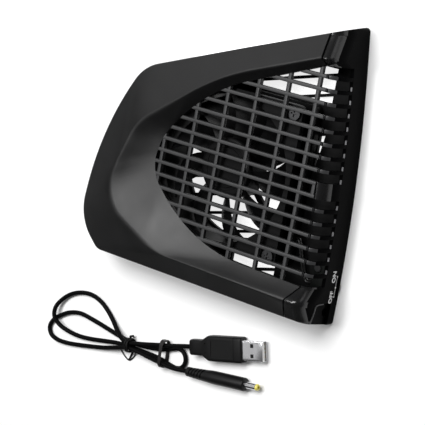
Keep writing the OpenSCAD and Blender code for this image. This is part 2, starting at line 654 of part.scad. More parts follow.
// Fasteners
fan_screw_r = 1.35;
module fan_screws() color(steel) centred() fan_places(rear_z) {
    translate([0, 0, rear_t / 4]) cylinder(r = fan_screw_r, h = fan_top - rear_z - rear_t / 4, $fn = fine);
    difference() {
        translate([0, 0, fan_top - rear_z]) cylinder(r = fan_hole_r + 1.6, h = head_h, $fn = fine);
        for (a = [0, 90]) rotate([0, 0, a]) translate([-fan_hole_r, -head_h / 4, fan_top - rear_z + head_h / 2])
            cube([2 * fan_hole_r, head_h / 2, head_h]);
    }
}
case_screw_l = 8;
case_head_h = 0.8;
case_head_r = 2;
module case_screws() color(steel) centred() at_each(concat(front_bosses, cap_bosses)) {
    translate([0, 0, rear_z]) cylinder(r = boss_bore_r - fit_gap, h = case_screw_l, $fn = fine);
    difference() {
        translate([0, 0, rear_z - case_head_h]) cylinder(r = case_head_r, h = case_head_h, $fn = fine);
        for (a = [0, 90]) rotate([0, 0, a])
            translate([-case_head_r / 2, -case_head_h / 4, rear_z - case_head_h - cut])
            cube([case_head_r, case_head_h / 2, cut + case_head_h / 2]);
    }
}

// Control board with the slide switch under it and the power socket on it
switch_l = 14;
switch_d = 4;
board_x = wall + recess_d + skin_gap;
board_l = 27.6;
board_w = 12;
board_low = 2.8;      // from the socket's centre down to the board's lower end
board_hole_ys = [8, 22.4];
board_hole_in = 3.2;  // from a hole to the board's edge away from the side face
module board_posts(z, h, r) on_side(jack_y, z) for (y = board_hole_ys)
    translate([board_hole_in - board_x - board_w, y, 0]) cylinder(r = r, h = h, $fn = fine);
module control_board() color([0.08, 0.3, 0.16]) centred() difference() {
    on_side(jack_y, board_z) translate([-board_x - board_w, -board_low, 0]) cube([board_w, board_l, board_t]);
    board_posts(board_z - cut, board_t + 2 * cut, boss_bore_r + skin_gap);
}
module board_screws() color(steel) centred() {
    board_posts(board_z - 2, 2 + board_t, boss_bore_r - fit_gap);
    board_posts(board_z + board_t, head_h / 2, boss_bore_r * 1.9);
}
module switch_body() color(steel) centred() on_side(switch_y, 0) {
    difference() {
        translate([-wall - skin_gap - switch_d, -switch_l / 2, pad_t / 2])
            cube([switch_d, switch_l, board_z - pad_t / 2]);
        translate([-wall - skin_gap - switch_d / 2, -window_l / 2, knob_z - window_h / 2])
            cube([switch_d, window_l, window_h]);
    }
}
module switch_knob() color(gloss_black) centred() on_side(switch_y, knob_z) {
    translate([-wall - skin_gap - switch_d / 2 + running_gap, -knob_l / 2, -knob_h / 2])
        cube([wall + skin_gap + switch_d / 2 - running_gap + knob_out / 2, knob_l, knob_h]);
    for (k = [-1 : 1]) translate([knob_out / 2 - cut / 4, k * knob_l / 3 - knob_l / 12, -knob_h / 2])
        cube([knob_out / 2 + cut / 4, knob_l / 6, knob_h]);
}
jack_pin_r = 0.8;
module dc_jack() color([0.06, 0.06, 0.06]) centred() on_side(jack_y, jack_z) difference() {
    translate([-recess_d - wall - jack_d, -jack_w / 2, -jack_h / 2]) cube([jack_d, jack_w, jack_h]);
    translate([-recess_d - wall - jack_d + wall / 2, 0, 0]) rotate([0, 90, 0])
        cylinder(r = socket_r, h = jack_d, $fn = fine);
}
module jack_pin() color(steel) centred() on_side(jack_y, jack_z)
    translate([-recess_d - wall - jack_d + wall / 2, 0, 0]) rotate([0, 90, 0])
        cylinder(r = jack_pin_r, h = jack_d - wall, $fn = fine);

// Two leads from the fan's frame to the control board, shares run from one to the other
lead_r = 0.6;
lead_end = 0.25;      // from the leads' ends to what they run to
lead_gap = 1.6;       // from the one lead's centre to the other's
lead_a = fan_mid + [fan_side / 2 + lead_end, -fan_side / 3, fan_z + flange_t / 2];
lead_b = concat(from_side(jack_y, [-board_x - board_w - lead_end, switch_y - jack_y]), board_z + board_t / 2);
lead_bows = [[0, 0, 0], [3, 0, 0.2], [0, 0, 1], [-3, 0, 0.2], [0, 0, 0]];
lead_turns = [[0, 1], [0.56, 0.81], [0.93, 0.37], [0.56, 0.81], [0, 1]];
lead_runs = [0, 0, 0.5, 1, 1];
module fan_leads() color([0.07, 0.07, 0.07]) centred() for (k = [0, 1])
    tube(spline([for (i = [0 : 4]) lead_a + (lead_b - lead_a) * lead_runs[i] + lead_bows[i]
        - k * lead_gap * [lead_turns[i][0], lead_turns[i][1], 0]], 4), lead_r, 6);

// Lead: the route's points are chosen by hand, from the USB plug to the power plug
cord_points = [[-4, -124.3, 4], [-8, -125.35, 4], [-12.3, -126.6, 4.15], [-16.2, -127.75, 4.35],
    [-20.5, -129, 4.55],
    [-25.5, -130.2, 4.7], [-31, -131.7, 4.8],
    [-38, -133.6, 5], [-45, -135.3, 5.5], [-50.5, -136.5, 5.7], [-56, -136.2, 5.3], [-62.5, -132.8, 3.6],
    [-69.5, -127.5, 1.8], [-75.5, -122.8, 1.5], [-82, -119.2, 1.5], [-89.5, -117.6, 1.5], [-97.5, -118.5, 1.5],
    [-105.5, -121.8, 1.7], [-111.5, -127, 2.8], [-114.6, -133, 4.5], [-114, -139, 4.9], [-109.5, -143.4, 3.6],
    [-102, -145.8, 2], [-93, -146.2, 1.5], [-83, -144.9, 1.5], [-73.5, -143, 1.5], [-62, -140.8, 1.8],
    [-50, -139.7, 2.5], [-41, -139.6, 2.2], [-33, -139.6, 2], [-26, -140, 2.25], [-20, -141.1, 2],
    [-14.8, -141.7, 1.5], [-10.5, -139.9, 1.5], [-8.7, -135.6, 1.5], [-10.5, -131.3, 1.5], [-14.8, -129.5, 1.5],
    [-20, -131.1, 1.9], [-26.5, -133.4, 2.25], [-33, -135, 2], [-41, -136.1, 2.2], [-50.5, -136.5, 2.5],
    [-58, -136.4, 1.9], [-67, -135.4, 1.5], [-76, -134, 1.5], [-86, -132.6, 1.5], [-96, -131.8, 1.5],
    [-104.5, -133.8, 1.5], [-111.3, -137.6, 1.5], [-116.9, -142.2, 1.5], [-119.3, -147.6, 1.5],
        [-117, -152.2, 1.5],
    [-111.2, -154, 1.5], [-104.5, -153.8, 1.5], [-96.5, -152.6, 1.5], [-84, -149.9, 1.6],
        [-72, -146.9, 2.4], [-60, -142.8, 4.4],
    [-50, -139.7, 5.7], [-41, -139.9, 5.4], [-33, -140.5, 5.2], [-25, -141, 5.25], [-17, -141.3, 5.1],
    [-11.2, -141.05, 4.5], [-7, -140.41, 4], [-4, -140, 4]];
cord_path = cord_points;
module cord() color([0.06, 0.06, 0.06]) centred() tube(cord_path, cord_d / 2, 8);
function path_length(p) = len(p) < 2 ? 0 : let (s = [for (i = [1 : len(p) - 1]) norm(p[i] - p[i - 1])])
    s * [for (v = s) 1];
smooth_path = spline(cord_points, 5);
echo(cord_length_mm = path_length(smooth_path));
// Least gap between two stretches of the lead that lie more than four diameters apart along it
apart = ceil(4 * cord_d / (path_length(smooth_path) / len(smooth_path)));
echo(least_gap_mm = min([for (i = [0 : len(smooth_path) - 1 - apart]) for (j = [i + apart : len(smooth_path) - 1])
    norm(smooth_path[i] - smooth_path[j])]) - cord_d);

// Frame along the lead's run: x is the run's own direction
module on_run(p, a) translate(p) rotate([0, 0, a]) children();
tie_at = [-50.3, -138.1, 0];
tie_angle = 8;
tie_w = 2.6;
tie_t = 0.7;
tie_loop = 9.2;       // width and height of the loop on the first tie
knot_r = 1.2;
knot_z = 3;
module loop_band(w, d, h, t) rotate([90, 0, 90]) translate([0, h / 2, -d / 2]) linear_extrude(d) difference() {
    rounded(w, h, h / 2 - t);
    rounded(w - 2 * t, h - 2 * t, h / 2 - 2 * t);
}
module cord_tie() color([0.07, 0.07, 0.07]) centred() on_run(tie_at, tie_angle) {
    loop_band(tie_loop, tie_w, tie_loop, tie_t);
    translate([0, tie_loop / 2 + knot_r - tie_t * 3 / 4, knot_z]) rotate([0, 90, 0])
        cylinder(r = knot_r, h = tie_w, center = true, $fn = 24);
}
band_at = [-24.2, -135.2, 0];
band_angle = 8;
band_w = 17.4;
band_l = 3.4;
band_h = 7.6;
module cord_band() color([0.22, 0.22, 0.22]) centred() on_run(band_at, band_angle)
    loop_band(band_w, band_l, band_h, tie_t);

// USB plug
usb_angle = 14.7;
usb_at = [-4, -124.3, 4];
usb_body_l = 38.5;
usb_neck_l = 9;
usb_body_w = 15.4;
usb_neck_w = 9.6;
usb_body_h = 7.6;
module usb_place() centred() translate(usb_at) rotate([0, 0, usb_angle]) children();
usb_stations = [[0, 8.8, 5.8], [0.5, usb_neck_w, 6.6], [usb_neck_l, usb_neck_w, 6.8],
    [usb_neck_l + 5, usb_body_w, usb_body_h],
    [usb_body_l - 0.6, usb_body_w, usb_body_h], [usb_body_l, usb_body_w - 1, usb_body_h - 1]];
usb_corner_r = 2.2;
usb_hold = 9;         // length of the steel shell inside the housing
function rounded_ring(x, w, h, r, steps) = [for (q = [0 : 3]) for (k = [0 : steps])
    let (a = 90 * q + 90 * k / steps,
    sy = q == 0 || q == 3 ? 1 : -1, sz = q < 2 ? 1 : -1)
    [x, sy * (w / 2 - r) + r * cos(a), sz * (h / 2 - r) + r * sin(a)]];
module usb_housing() color([0.08, 0.08, 0.08]) usb_place() difference() {
    skin([for (u = usb_stations) rounded_ring(u[0], u[1], u[2], usb_corner_r, 4)]);
    translate([usb_body_l - usb_hold, -usb_w / 2, -usb_h / 2]) cube([usb_hold + cut, usb_w, usb_h]);
}
shell_t = 0.35;
latch_w = 2.2;
latch_share = 0.41;
module usb_shell() color(steel) usb_place() difference() {
    translate([usb_body_l - usb_hold, -usb_w / 2, -usb_h / 2]) cube([usb_hold + usb_l, usb_w, usb_h]);
    translate([usb_body_l - usb_hold + shell_t, -usb_w / 2 + shell_t, -usb_h / 2 + shell_t])
        cube([usb_hold + usb_l, usb_w - 2 * shell_t, usb_h - 2 * shell_t]);
    for (y = [-1, 1]) translate([usb_body_l + usb_l * latch_share, y * usb_w / 4 - latch_w / 2,
        usb_h / 2 - 2 * shell_t])
        cube([latch_w, latch_w, 4 * shell_t]);
}
tongue_t = 1.9;
module usb_tongue() color([0.92, 0.92, 0.9]) usb_place()
    translate([usb_body_l - usb_hold + shell_t, -usb_w / 2 + shell_t,
        usb_h / 2 - shell_t - tongue_t - skin_gap])
        cube([usb_hold + usb_l - 2 * shell_t, usb_w - 2 * shell_t, tongue_t]);
contact_t = 0.15;
module usb_contacts() color([0.85, 0.68, 0.3]) usb_place() for (y = [-3.5, -1, 1, 3.5])
    translate([usb_body_l, y - 0.5, usb_h / 2 - shell_t - tongue_t - skin_gap - contact_t])
        cube([usb_l - 2, 1, contact_t]);

// Power plug
plug_at = [-4, -140, 4];
plug_angle = 7.8;
relief_l = 13;
plug_body_l = 30.2;
plug_body_r = 4;
module plug_place() centred() translate(plug_at) rotate([0, 0, plug_angle]) rotate([0, 90, 0]) children();
module dc_plug_relief() color([0.08, 0.08, 0.08]) plug_place() rotate_extrude($fn = fine)
    polygon(concat([[0, 0]], [for (i = [0 : 4]) for (q = [[0, 2.9], [1.5, 2.9], [1.5, 2.3],
        [relief_l / 5, 2.3]])
        [q[1] + i * 0.12, q[0] + i * relief_l / 5]], [[0, relief_l]]));
module dc_plug_body() color([0.08, 0.08, 0.08]) plug_place()
    translate([0, 0, relief_l]) rotate_extrude($fn = fine)
    polygon([[0, 0], [plug_body_r - 0.7, 0], [plug_body_r - 0.2, 3], [plug_body_r, 6],
        [plug_body_r, plug_body_l - 0.6],
        [plug_body_r - 0.6, plug_body_l], [0, plug_body_l]]);
barrel_l = 9.5;
tip_l = 1.6;
module dc_barrel() color(steel) plug_place() translate([0, 0, relief_l + plug_body_l])
    ring(barrel_d / 2, barrel_d / 2 - 0.35, barrel_l - tip_l);
module dc_tip() color([0.9, 0.8, 0.2]) plug_place() translate([0, 0, relief_l + plug_body_l + barrel_l - tip_l])
    ring(barrel_d / 2, 0.85, tip_l);

echo(mid = mid, fan = fan_mid - [mid[0], mid[1], 0]);
echo(jack = [side_at(jack_y), jack_y] - mid, jack_z = jack_z, switch = [side_at(switch_y), switch_y] - mid);

front_cover();
end_cap();
rear_cover();
rubber_pads();
fan_frame();
fan_rotor();
rotor_shaft();
sleeve_bearing();
magnet_ring();
stator_core();
stator_coils();
motor_board();
shaft_clip();
fan_screws();
case_screws();
control_board();
board_screws();
switch_body();
switch_knob();
dc_jack();
jack_pin();
fan_leads();
cord();
cord_tie();
cord_band();
usb_housing();
usb_shell();
usb_tongue();
usb_contacts();
dc_plug_body();
dc_plug_relief();
dc_barrel();
dc_tip();
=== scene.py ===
# %% [markdown]
# # A cooling fan for a game console
#
# The object is a flat case with a sunken grille on its front, a glossy louvred end
# piece along its right side, a fan that shows dark through the slats, and a power
# lead folded into a hank. It lies on its back on a white table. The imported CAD
# model is the fixed frame: each piece below either gives a CAD node its finish or
# takes a node's place with a finer mesh.

# %% Load the frame
import json
from math import asin, atan2, cos, pi, radians, sin, sqrt, tan, tau

import bmesh
import bpy
from mathutils import Matrix, Vector


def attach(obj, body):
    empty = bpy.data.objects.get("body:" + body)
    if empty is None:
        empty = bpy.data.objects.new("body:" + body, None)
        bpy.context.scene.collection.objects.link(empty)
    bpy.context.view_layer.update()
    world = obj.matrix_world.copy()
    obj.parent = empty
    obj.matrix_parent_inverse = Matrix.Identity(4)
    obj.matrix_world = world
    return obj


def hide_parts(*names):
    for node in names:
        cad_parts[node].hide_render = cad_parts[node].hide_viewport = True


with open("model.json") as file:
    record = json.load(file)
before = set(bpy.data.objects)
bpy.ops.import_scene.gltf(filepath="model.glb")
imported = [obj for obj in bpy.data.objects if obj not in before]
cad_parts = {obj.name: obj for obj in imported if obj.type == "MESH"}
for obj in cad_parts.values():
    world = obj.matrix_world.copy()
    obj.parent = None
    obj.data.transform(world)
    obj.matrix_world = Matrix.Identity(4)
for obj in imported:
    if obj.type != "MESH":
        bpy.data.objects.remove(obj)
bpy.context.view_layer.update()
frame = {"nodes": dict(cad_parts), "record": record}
nodes = frame["nodes"]
print("CAD nodes:", len(nodes))

# %% [markdown]
# ## Units and places
#
# The CAD source works in millimetres and puts the middle of the case's outline at
# the origin. Blender works in metres. Two small helpers turn one into the other, so
# that every number below can be read as millimetres on the real fan.

# %% Millimetres in the case's frame
MM = 0.001
CASE_W, CASE_H = 172.0, 168.0
MID = Vector((-1.57419, 0.860539, 0.0))


def place(x, y, z=0.0):
    """A point of the CAD drawing, in millimetres, as a point of the scene."""
    return (Vector((x, y, z)) - MID) * MM


def link(obj):
    bpy.context.scene.collection.objects.link(obj)
    return obj


def mesh_object(name, points, faces):
    """A new object from points in millimetres."""
    mesh = bpy.data.meshes.new(name)
    mesh.from_pydata([place(*p) for p in points], [], faces)
    mesh.update()
    return link(bpy.data.objects.new(name, mesh))


print("origin of the scene in the drawing, mm:", tuple(round(v, 2) for v in MID))

# %% [markdown]
# ## Camera
#
# The photograph looks down on the fan from its right, through a long lens, so
# parallel edges stay nearly parallel. The camera's three axes are written out,
# because the view is also rolled a little.

# %% Camera
RIGHT = Vector((0.778, 0.178, -0.603)).normalized()
FORWARD = Vector((-0.573, -0.194, -0.796))
FORWARD = (FORWARD - RIGHT * FORWARD.dot(RIGHT)).normalized()
UP = RIGHT.cross(FORWARD)
CAMERA_AT = (569.06, 153.43, 805.18)
LENS, SENSOR_W, SEES_TO = 144, 36, 50
camera_data = bpy.data.cameras.new("camera")
camera_data.lens = LENS
camera_data.sensor_width = SENSOR_W
camera_data.clip_end = SEES_TO
camera = link(bpy.data.objects.new("camera", camera_data))
axes = Matrix((RIGHT, UP, -FORWARD)).transposed()
camera.matrix_world = Matrix.Translation(place(*CAMERA_AT)) @ axes.to_4x4()
bpy.context.scene.camera = camera
print("camera stands", round(camera.matrix_world.translation.length, 3), "m from the case")

# %% [markdown]
# ## Table and light
#
# The fan stands on a white table that has no visible edge. The table is a wide
# plane. Its colour is plain white, and a little of what is seen of it is its own
# glow, so it reads as white and still keeps the soft shadow. Under the grille the
# glow is stronger: painted light that clears the case's shadow from the table there,
# because the photograph shows clean white through every opening.
# One lamp hangs beyond the fan and throws the shadow towards the viewer. A small one
# overhead lights the bowl, a broad, dim one on the left lights the upper band, a
# card beside it is what the steel mirrors, and a weak one behind on the right draws
# the bend of the end piece. The world is only a faint even light.

# %% Helpers for nodes
def new_nodes(tree, family, *kinds):
    """One new node of each kind, in order."""
    return [tree.nodes.new(family + kind) for kind in kinds]


def fill(node, values):
    """Sets a node's inputs by their names."""
    for name, value in values.items():
        node.inputs[name].default_value = value


def join(tree, *links):
    """Links an output of one node to an input of another, as often as asked."""
    for source, output, target, socket in links:
        tree.links.new(source.outputs[output], target.inputs[socket])


print("helpers: new_nodes, fill, join")

# %% Floor
TABLE_HALF, TABLE_SHADE, TABLE_DROP = 4.0, 0.86, 0.0001
GLOW, PAINTED_LIGHT_UNDER_GRILLE, GLOW_FADE = 0.06, 0.75, 0.008
GRILLE_X, GRILLE_Y = (-0.045, 0.078), (-0.074, 0.070)
table = bpy.data.meshes.new("floor")
table.from_pydata([(x * TABLE_HALF, y * TABLE_HALF, 0) for x, y in ((-1, -1), (1, -1), (1, 1), (-1, 1))], [],
                  [(0, 1, 2, 3)])
floor = link(bpy.data.objects.new("floor", table))
floor.location.z = -TABLE_DROP
white = bpy.data.materials.new("white_table")
white.use_nodes = True
tree = white.node_tree
tree.nodes.clear()
out, paint, glow, add, path, where, apart = new_nodes(
    tree, "ShaderNode", "OutputMaterial", "BsdfDiffuse", "Emission", "AddShader", "LightPath", "TexCoord",
    "SeparateXYZ")
paint.inputs["Color"].default_value = (TABLE_SHADE, TABLE_SHADE, TABLE_SHADE, 1)


def reckon(operation, *values):
    """A math node on numbers and on the outputs of other nodes, with its own output."""
    node = tree.nodes.new("ShaderNodeMath")
    node.operation = operation
    for i, value in enumerate(values):
        if isinstance(value, tuple):
            join(tree, (*value, node, i))
        else:
            node.inputs[i].default_value = value
    return node, 0


def faded(axis, low, high):
    """One between low and high along the axis, zero outside, in metres, softly."""
    edges = []
    for edge, sign in ((low, 1), (high, -1)):
        soft = tree.nodes.new("ShaderNodeMapRange")
        soft.interpolation_type = "SMOOTHSTEP"
        fill(soft, {"From Min": edge, "From Max": edge + sign * GLOW_FADE})
        join(tree, (apart, axis, soft, "Value"))
        edges.append((soft, "Result"))
    return reckon("MULTIPLY", *edges)


join(tree, (where, "Object", apart, "Vector"))
# The stronger glow under the grille is painted light: it takes the case's shadow off the table there.
under = reckon("MULTIPLY", faded("X", *GRILLE_X), faded("Y", *GRILLE_Y))
amount = reckon("MULTIPLY_ADD", under, PAINTED_LIGHT_UNDER_GRILLE, GLOW)
seen = reckon("MAXIMUM", (path, "Is Camera Ray"), (path, "Is Glossy Ray"))
seen = reckon("MAXIMUM", seen, (path, "Is Transmission Ray"))
join(tree, (*reckon("MULTIPLY", seen, amount), glow, "Strength"), (paint, 0, add, 0), (glow, 0, add, 1),
     (add, 0, out, "Surface"))
floor.data.materials.append(white)
print("table:", 2 * TABLE_HALF, "m wide")

# %% Lamps and world
WORLD_LIGHT = 0.045
# Each lamp's place and target in metres, its width and height, and its power in watts
LAMPS = {
    "key_lamp": ((0.05, 0.62, 1.2), (0, -0.02, 0), (0.8, 0.5), 17),
    "bowl_lamp": ((-0.364, 0.168, 1.344), (0, 0, 0), (0.42, 0.36), 9),
    "fill_lamp": ((-1.17, 0.67, 0.67), (0, 0, 0), (1.0, 0.7), 1.9),
    "card_lamp": ((-0.84, -0.38, 1.19), (0, 0, 0), (0.6, 0.6), 0.55),
    "rim_lamp": ((1.0, 0.95, 0.28), (0, 0, 0), (0.4, 0.4), 0.6),
}
world = bpy.data.worlds.new("world")
world.use_nodes = True
fill(world.node_tree.nodes["Background"], {"Color": (1, 1, 1, 1), "Strength": WORLD_LIGHT})
bpy.context.scene.world = world
for name, (position, target, size, power) in LAMPS.items():
    lamp = bpy.data.lights.new(name, "AREA")
    lamp.shape = "RECTANGLE"
    lamp.size, lamp.size_y = size
    lamp.energy = power
    aim = (Vector(target) - Vector(position)).normalized()
    turn = aim.to_track_quat("-Z", "Y").to_matrix().to_4x4()
    link(bpy.data.objects.new(name, lamp)).matrix_world = Matrix.Translation(position) @ turn
bpy.context.scene.view_settings.view_transform = "Standard"
print("lamps:", len(LAMPS))

# %% [markdown]
# ## Finishes
#
# Nearly everything here is moulded plastic or thin plated steel. One helper makes
# all of them: a Principled shader whose colour and roughness vary a little with
# noise, over a fine bump. The noise reads Object coordinates, so it stays in the
# piece. Spark-eroded case plastic gets a coarse bump, gloss plastic almost none.

# %% A helper for plastic and metal
CLOUD_SCALE, CLOUD_LOW, CLOUD_HIGH = 45, 0.3, 0.7
RELIEF_DEPTH = 0.0002


def finish(name, color, roughness, grain=0.35, bump=0.1, mottle=0.08, metallic=0.0, specular=0.5, wear=0.05,
           brushed=None):
    """A material. Grain is the size of its fine relief in millimetres."""
    mat = bpy.data.materials.new(name)
    mat.use_nodes = True
    t = mat.node_tree
    shader = t.nodes["Principled BSDF"]
    where, cloud, ramp, rough, fine, relief = new_nodes(
        t, "ShaderNode", "TexCoord", "TexNoise", "ValToRGB", "MapRange", "TexNoise", "Bump")
    fill(shader, {"Metallic": metallic, "Specular IOR Level": specular})
    fill(cloud, {"Scale": CLOUD_SCALE, "Detail": 5})
    for end, position, share in zip(ramp.color_ramp.elements, (CLOUD_LOW, CLOUD_HIGH), (1 - mottle, 1 + mottle)):
        end.position = position
        end.color = (*[min(1, c * share) for c in color], 1)
    fill(rough, {"From Min": CLOUD_LOW, "From Max": CLOUD_HIGH, "To Min": max(0.02, roughness - wear),
                 "To Max": min(1.0, roughness + wear)})
    fill(fine, {"Scale": 1 / (grain * MM), "Detail": 2})
    fill(relief, {"Strength": bump, "Distance": RELIEF_DEPTH})
    grains = where, "Object"
    if brushed:
        stretch = t.nodes.new("ShaderNodeMapping")
        fill(stretch, {"Scale": brushed})
        join(t, (*grains, stretch, "Vector"))
        grains = stretch, "Vector"
    join(t, (where, "Object", cloud, "Vector"), (cloud, "Fac", ramp, "Fac"), (ramp, "Color", shader, "Base Color"),
         (cloud, "Fac", rough, "Value"), (rough, "Result", shader, "Roughness"), (*grains, fine, "Vector"),
         (fine, "Fac", relief, "Height"), (relief, "Normal", shader, "Normal"))
    return mat


print("helper: finish")

# %% The finishes of this fan
finishes = {
    "shell_plastic": finish("case_plastic", (0.0036, 0.0036, 0.0038), 0.42, grain=0.5, bump=0.2),
    "gloss_plastic": finish("gloss_plastic", (0.0016, 0.0016, 0.0018), 0.18, bump=0.015, wear=0.03, specular=0.012),
    "rubber": finish("pad_rubber", (0.02, 0.02, 0.02), 0.8),
    "fan_plastic": finish("fan_plastic", (0.004, 0.004, 0.0042), 0.42, bump=0.08, specular=0.08),
    "steel": finish("plated_steel", (0.78, 0.78, 0.8), 0.2, bump=0.03, metallic=1.0),
    "dark_steel": finish("screw_steel", (0.06, 0.06, 0.062), 0.35, bump=0.05, metallic=1.0),
    "bronze": finish("bearing_bronze", (0.6, 0.42, 0.2), 0.4, metallic=1.0),
    "ferrite": finish("magnet_ferrite", (0.08, 0.08, 0.08), 0.7, bump=0.2),
    "core_steel": finish("core_steel", (0.45, 0.46, 0.48), 0.4, metallic=1.0, brushed=(0.05, 0.05, 8)),
    "copper_wire": finish("copper_wire", (0.55, 0.22, 0.08), 0.3, metallic=1.0, bump=0.3, grain=0.6),
    "board_dark": finish("board_dark", (0.004, 0.005, 0.0045), 0.4, bump=0.05, specular=0.15),
    "clip_nylon": finish("clip_nylon", (0.8, 0.8, 0.76), 0.5),
    "plug_plastic": finish("plug_plastic", (0.005, 0.005, 0.0052), 0.45, bump=0.12, grain=0.6, specular=0.2),
    "lead_black": finish("lead_black", (0.012, 0.012, 0.012), 0.4),
    "cord_jacket": finish("cord_jacket", (0.003, 0.003, 0.0032), 0.45, bump=0.12, grain=1.2, specular=0.04),
    "tie_black": finish("tie_black", (0.004, 0.004, 0.004), 0.5, specular=0.15),
    "tie_grey": finish("tie_grey", (0.011, 0.0095, 0.0098), 0.42, bump=0.5, grain=1.1, mottle=0.6, specular=0.35),
    "tongue_white": finish("tongue_white", (0.85, 0.85, 0.82), 0.45),
    "gold": finish("gold_plate", (0.83, 0.6, 0.25), 0.25, metallic=1.0),
    "tip_yellow": finish("tip_yellow", (0.68, 0.6, 0.12), 0.3),
}
# Lighter copies of the plastics follow: painted light on the end piece's top, a painted highlight on the rib tops,
# a painted glint on the slot edges and painted light on the slats.
gloss_painted_light = finish("gloss_plastic_painted_light", (0.008, 0.008, 0.0083), 0.22, bump=0.015, wear=0.03, specular=0.5)
painted_rib_highlight = finish("painted_rib_highlight", (0.032, 0.032, 0.0335), 0.35, bump=0.05)
edge_shine = finish("edge_shine", (0.11, 0.11, 0.115), 0.35, bump=0.05)
legend_white = finish("legend_white", (0.8, 0.8, 0.8), 0.6, bump=0.05)
# The slats and bars are the case's plastic in a lighter copy: painted light, as from above.
slat_plastic_painted_light = finish("slat_plastic_painted_light", (0.025, 0.0252, 0.0262), 0.45, grain=0.5, bump=0.2)
slot_of = {s["node"]: s["material_slot"] for s in frame["record"]["subparts"]}
for name, node in nodes.items():
    node.data.materials.clear()
    node.data.materials.append(finishes[slot_of[name]])
back_plastic = finish("back_plastic", (0.004, 0.004, 0.0042), 0.5, grain=0.5, bump=0.2, specular=0.1)
nodes["rear_cover"].data.materials[0] = back_plastic
print("finishes for the CAD's slots:", len(finishes))

# %% [markdown]
# ## Helpers for shells
#
# The case is drawn from outlines: a table of corners, each with a radius, becomes a
# closed line, and a skin through several such lines at rising heights becomes a
# solid. The same tables are in the CAD source, so the two agree. Each line here has
# more points than there, because the camera sees the ridges catch the light. The
# right end lies beyond the side face and is cut off, so its length is free.

# %% Outlines with rounded corners
ARC, RUN = 14, 5


def outline(corners, inset=0.0):
    """Points of a closed outline with rounded corners, drawn in by the inset."""
    arcs = []
    count = len(corners)
    for i, (x, y, r) in enumerate(corners):
        r = max(r, inset + 0.5)
        p = Vector((x, y))
        d1 = (p - Vector(corners[i - 1][:2])).normalized()
        d2 = (Vector(corners[(i + 1) % count][:2]) - p).normalized()
        turn = atan2(d1.x * d2.y - d1.y * d2.x, d1.dot(d2))
        left = Vector((-d1.y, d1.x))
        m = p - d1 * r * tan(turn / 2) + left * r
        a0 = atan2(-left.y, -left.x)
        arcs.append([m + (r - inset) * Vector((cos(a0 + turn * k / ARC), sin(a0 + turn * k / ARC)))
                     for k in range(ARC + 1)])
    points = []
    for i, arc in enumerate(arcs):
        onward = arcs[(i + 1) % count][0]
        points += arc + [arc[-1].lerp(onward, k / (RUN + 1)) for k in range(1, RUN + 1)]
    return points


def raised(points, z):
    return [Vector((p[0], p[1], z)) for p in points]


def corner_table(shares, over):
    """Corners in millimetres. The right end goes on by a length of its own, or rings would meet there."""
    table = [(x * CASE_W, y * CASE_H, r) for x, y, r in shares]
    for end, start in ((0, 1), (-1, -2)):
        (x0, y0, _), (x1, y1, r) = table[start], table[end]
        table[end] = (x1 + over, y1 + over * (y1 - y0) / (x1 - x0), r)
    return table


BASE = corner_table([(0.57, 0.5637, 8), (0.058, 0.3774, 1500), (-0.3506, 0.224, 31), (-0.495, -0.0402, 180),
                     (-0.5295, -0.3913, 32), (-0.4153, -0.495, 11), (0.57, -0.495, 8)], 14)
RIM = corner_table([(0.57, 0.4613, 8), (0.0087, 0.2488, 160), (-0.298, 0.018, 34), (-0.358, -0.15, 60),
                    (-0.3831, -0.2839, 22), (-0.1297, -0.4048, 50), (0.57, -0.4107, 8)], 7)
MOUTH = corner_table([(0.57, 0.4399, 8), (-0.0599, 0.1887, 110), (-0.2, -0.008, 24), (-0.2175, -0.085, 18),
                      (-0.2085, -0.1506, 20), (-0.0087, -0.3482, 95), (0.57, -0.3601, 8)], 0)
print("points in one outline:", len(outline(BASE)))

# %% Skins, prisms and cuts
def face_out(mesh):
    """Turns every face of a closed mesh outwards."""
    work = bmesh.new()
    work.from_mesh(mesh)
    bmesh.ops.remove_doubles(work, verts=work.verts, dist=1e-7)
    bmesh.ops.recalc_face_normals(work, faces=work.faces)
    work.to_mesh(mesh)
    work.free()


def skin(name, rings, closed=False):
    """A solid through rings that all have the same number of points."""
    n = len(rings[0])
    points = [p for ring in rings for p in ring]
    last = len(rings) - 1
    faces = [(k * n + i, k * n + (i + 1) % n, (k + 1) * n + (i + 1) % n, (k + 1) * n + i)
             for k in range(last) for i in range(n)]
    if closed:
        faces += [(last * n + i, last * n + (i + 1) % n, (i + 1) % n, i) for i in range(n)]
    else:
        faces += [tuple(reversed(range(n))), tuple(range(last * n, last * n + n))]
    piece = mesh_object(name, points, faces)
    face_out(piece.data)
    return piece


def prism(name, points, low, high):
    return skin(name, [raised(points, low), raised(points, high)])


def plain(obj, name):
    """The evaluated object as a plain mesh in a new object."""
    bpy.context.view_layer.update()
    mesh = bpy.data.meshes.new_from_object(obj.evaluated_get(bpy.context.evaluated_depsgraph_get()))
    mesh.name = name
    bpy.data.objects.remove(obj)
    return link(bpy.data.objects.new(name, mesh))


def carve(piece, *tools, operation="DIFFERENCE"):
    """Cuts the piece with each tool, or keeps what they share, and drops the tool."""
    for tool in tools:
        step = piece.modifiers.new("carve", "BOOLEAN")
        step.operation = operation
        step.solver = "EXACT"
        step.object = tool
        piece = plain(piece, piece.name)
        bpy.data.objects.remove(tool)
    return piece


def soft_edges(piece, material, angle=32):
    """Smooth shading, kept sharp where two faces meet at more than the angle."""
    piece.data.materials.clear()
    piece.data.materials.append(material)
    piece.data.shade_smooth()
    piece.data.set_sharp_from_angle(angle=radians(angle))


def paint_lit_tops(piece, material, upward, lowest=20):
    """Gives the faces that look up, above the given height, another finish: painted light on the tops."""
    piece.data.materials.append(material)
    for face in piece.data.polygons:
        if face.normal.z > upward and face.center.z > lowest * MM:
            face.material_index = 1


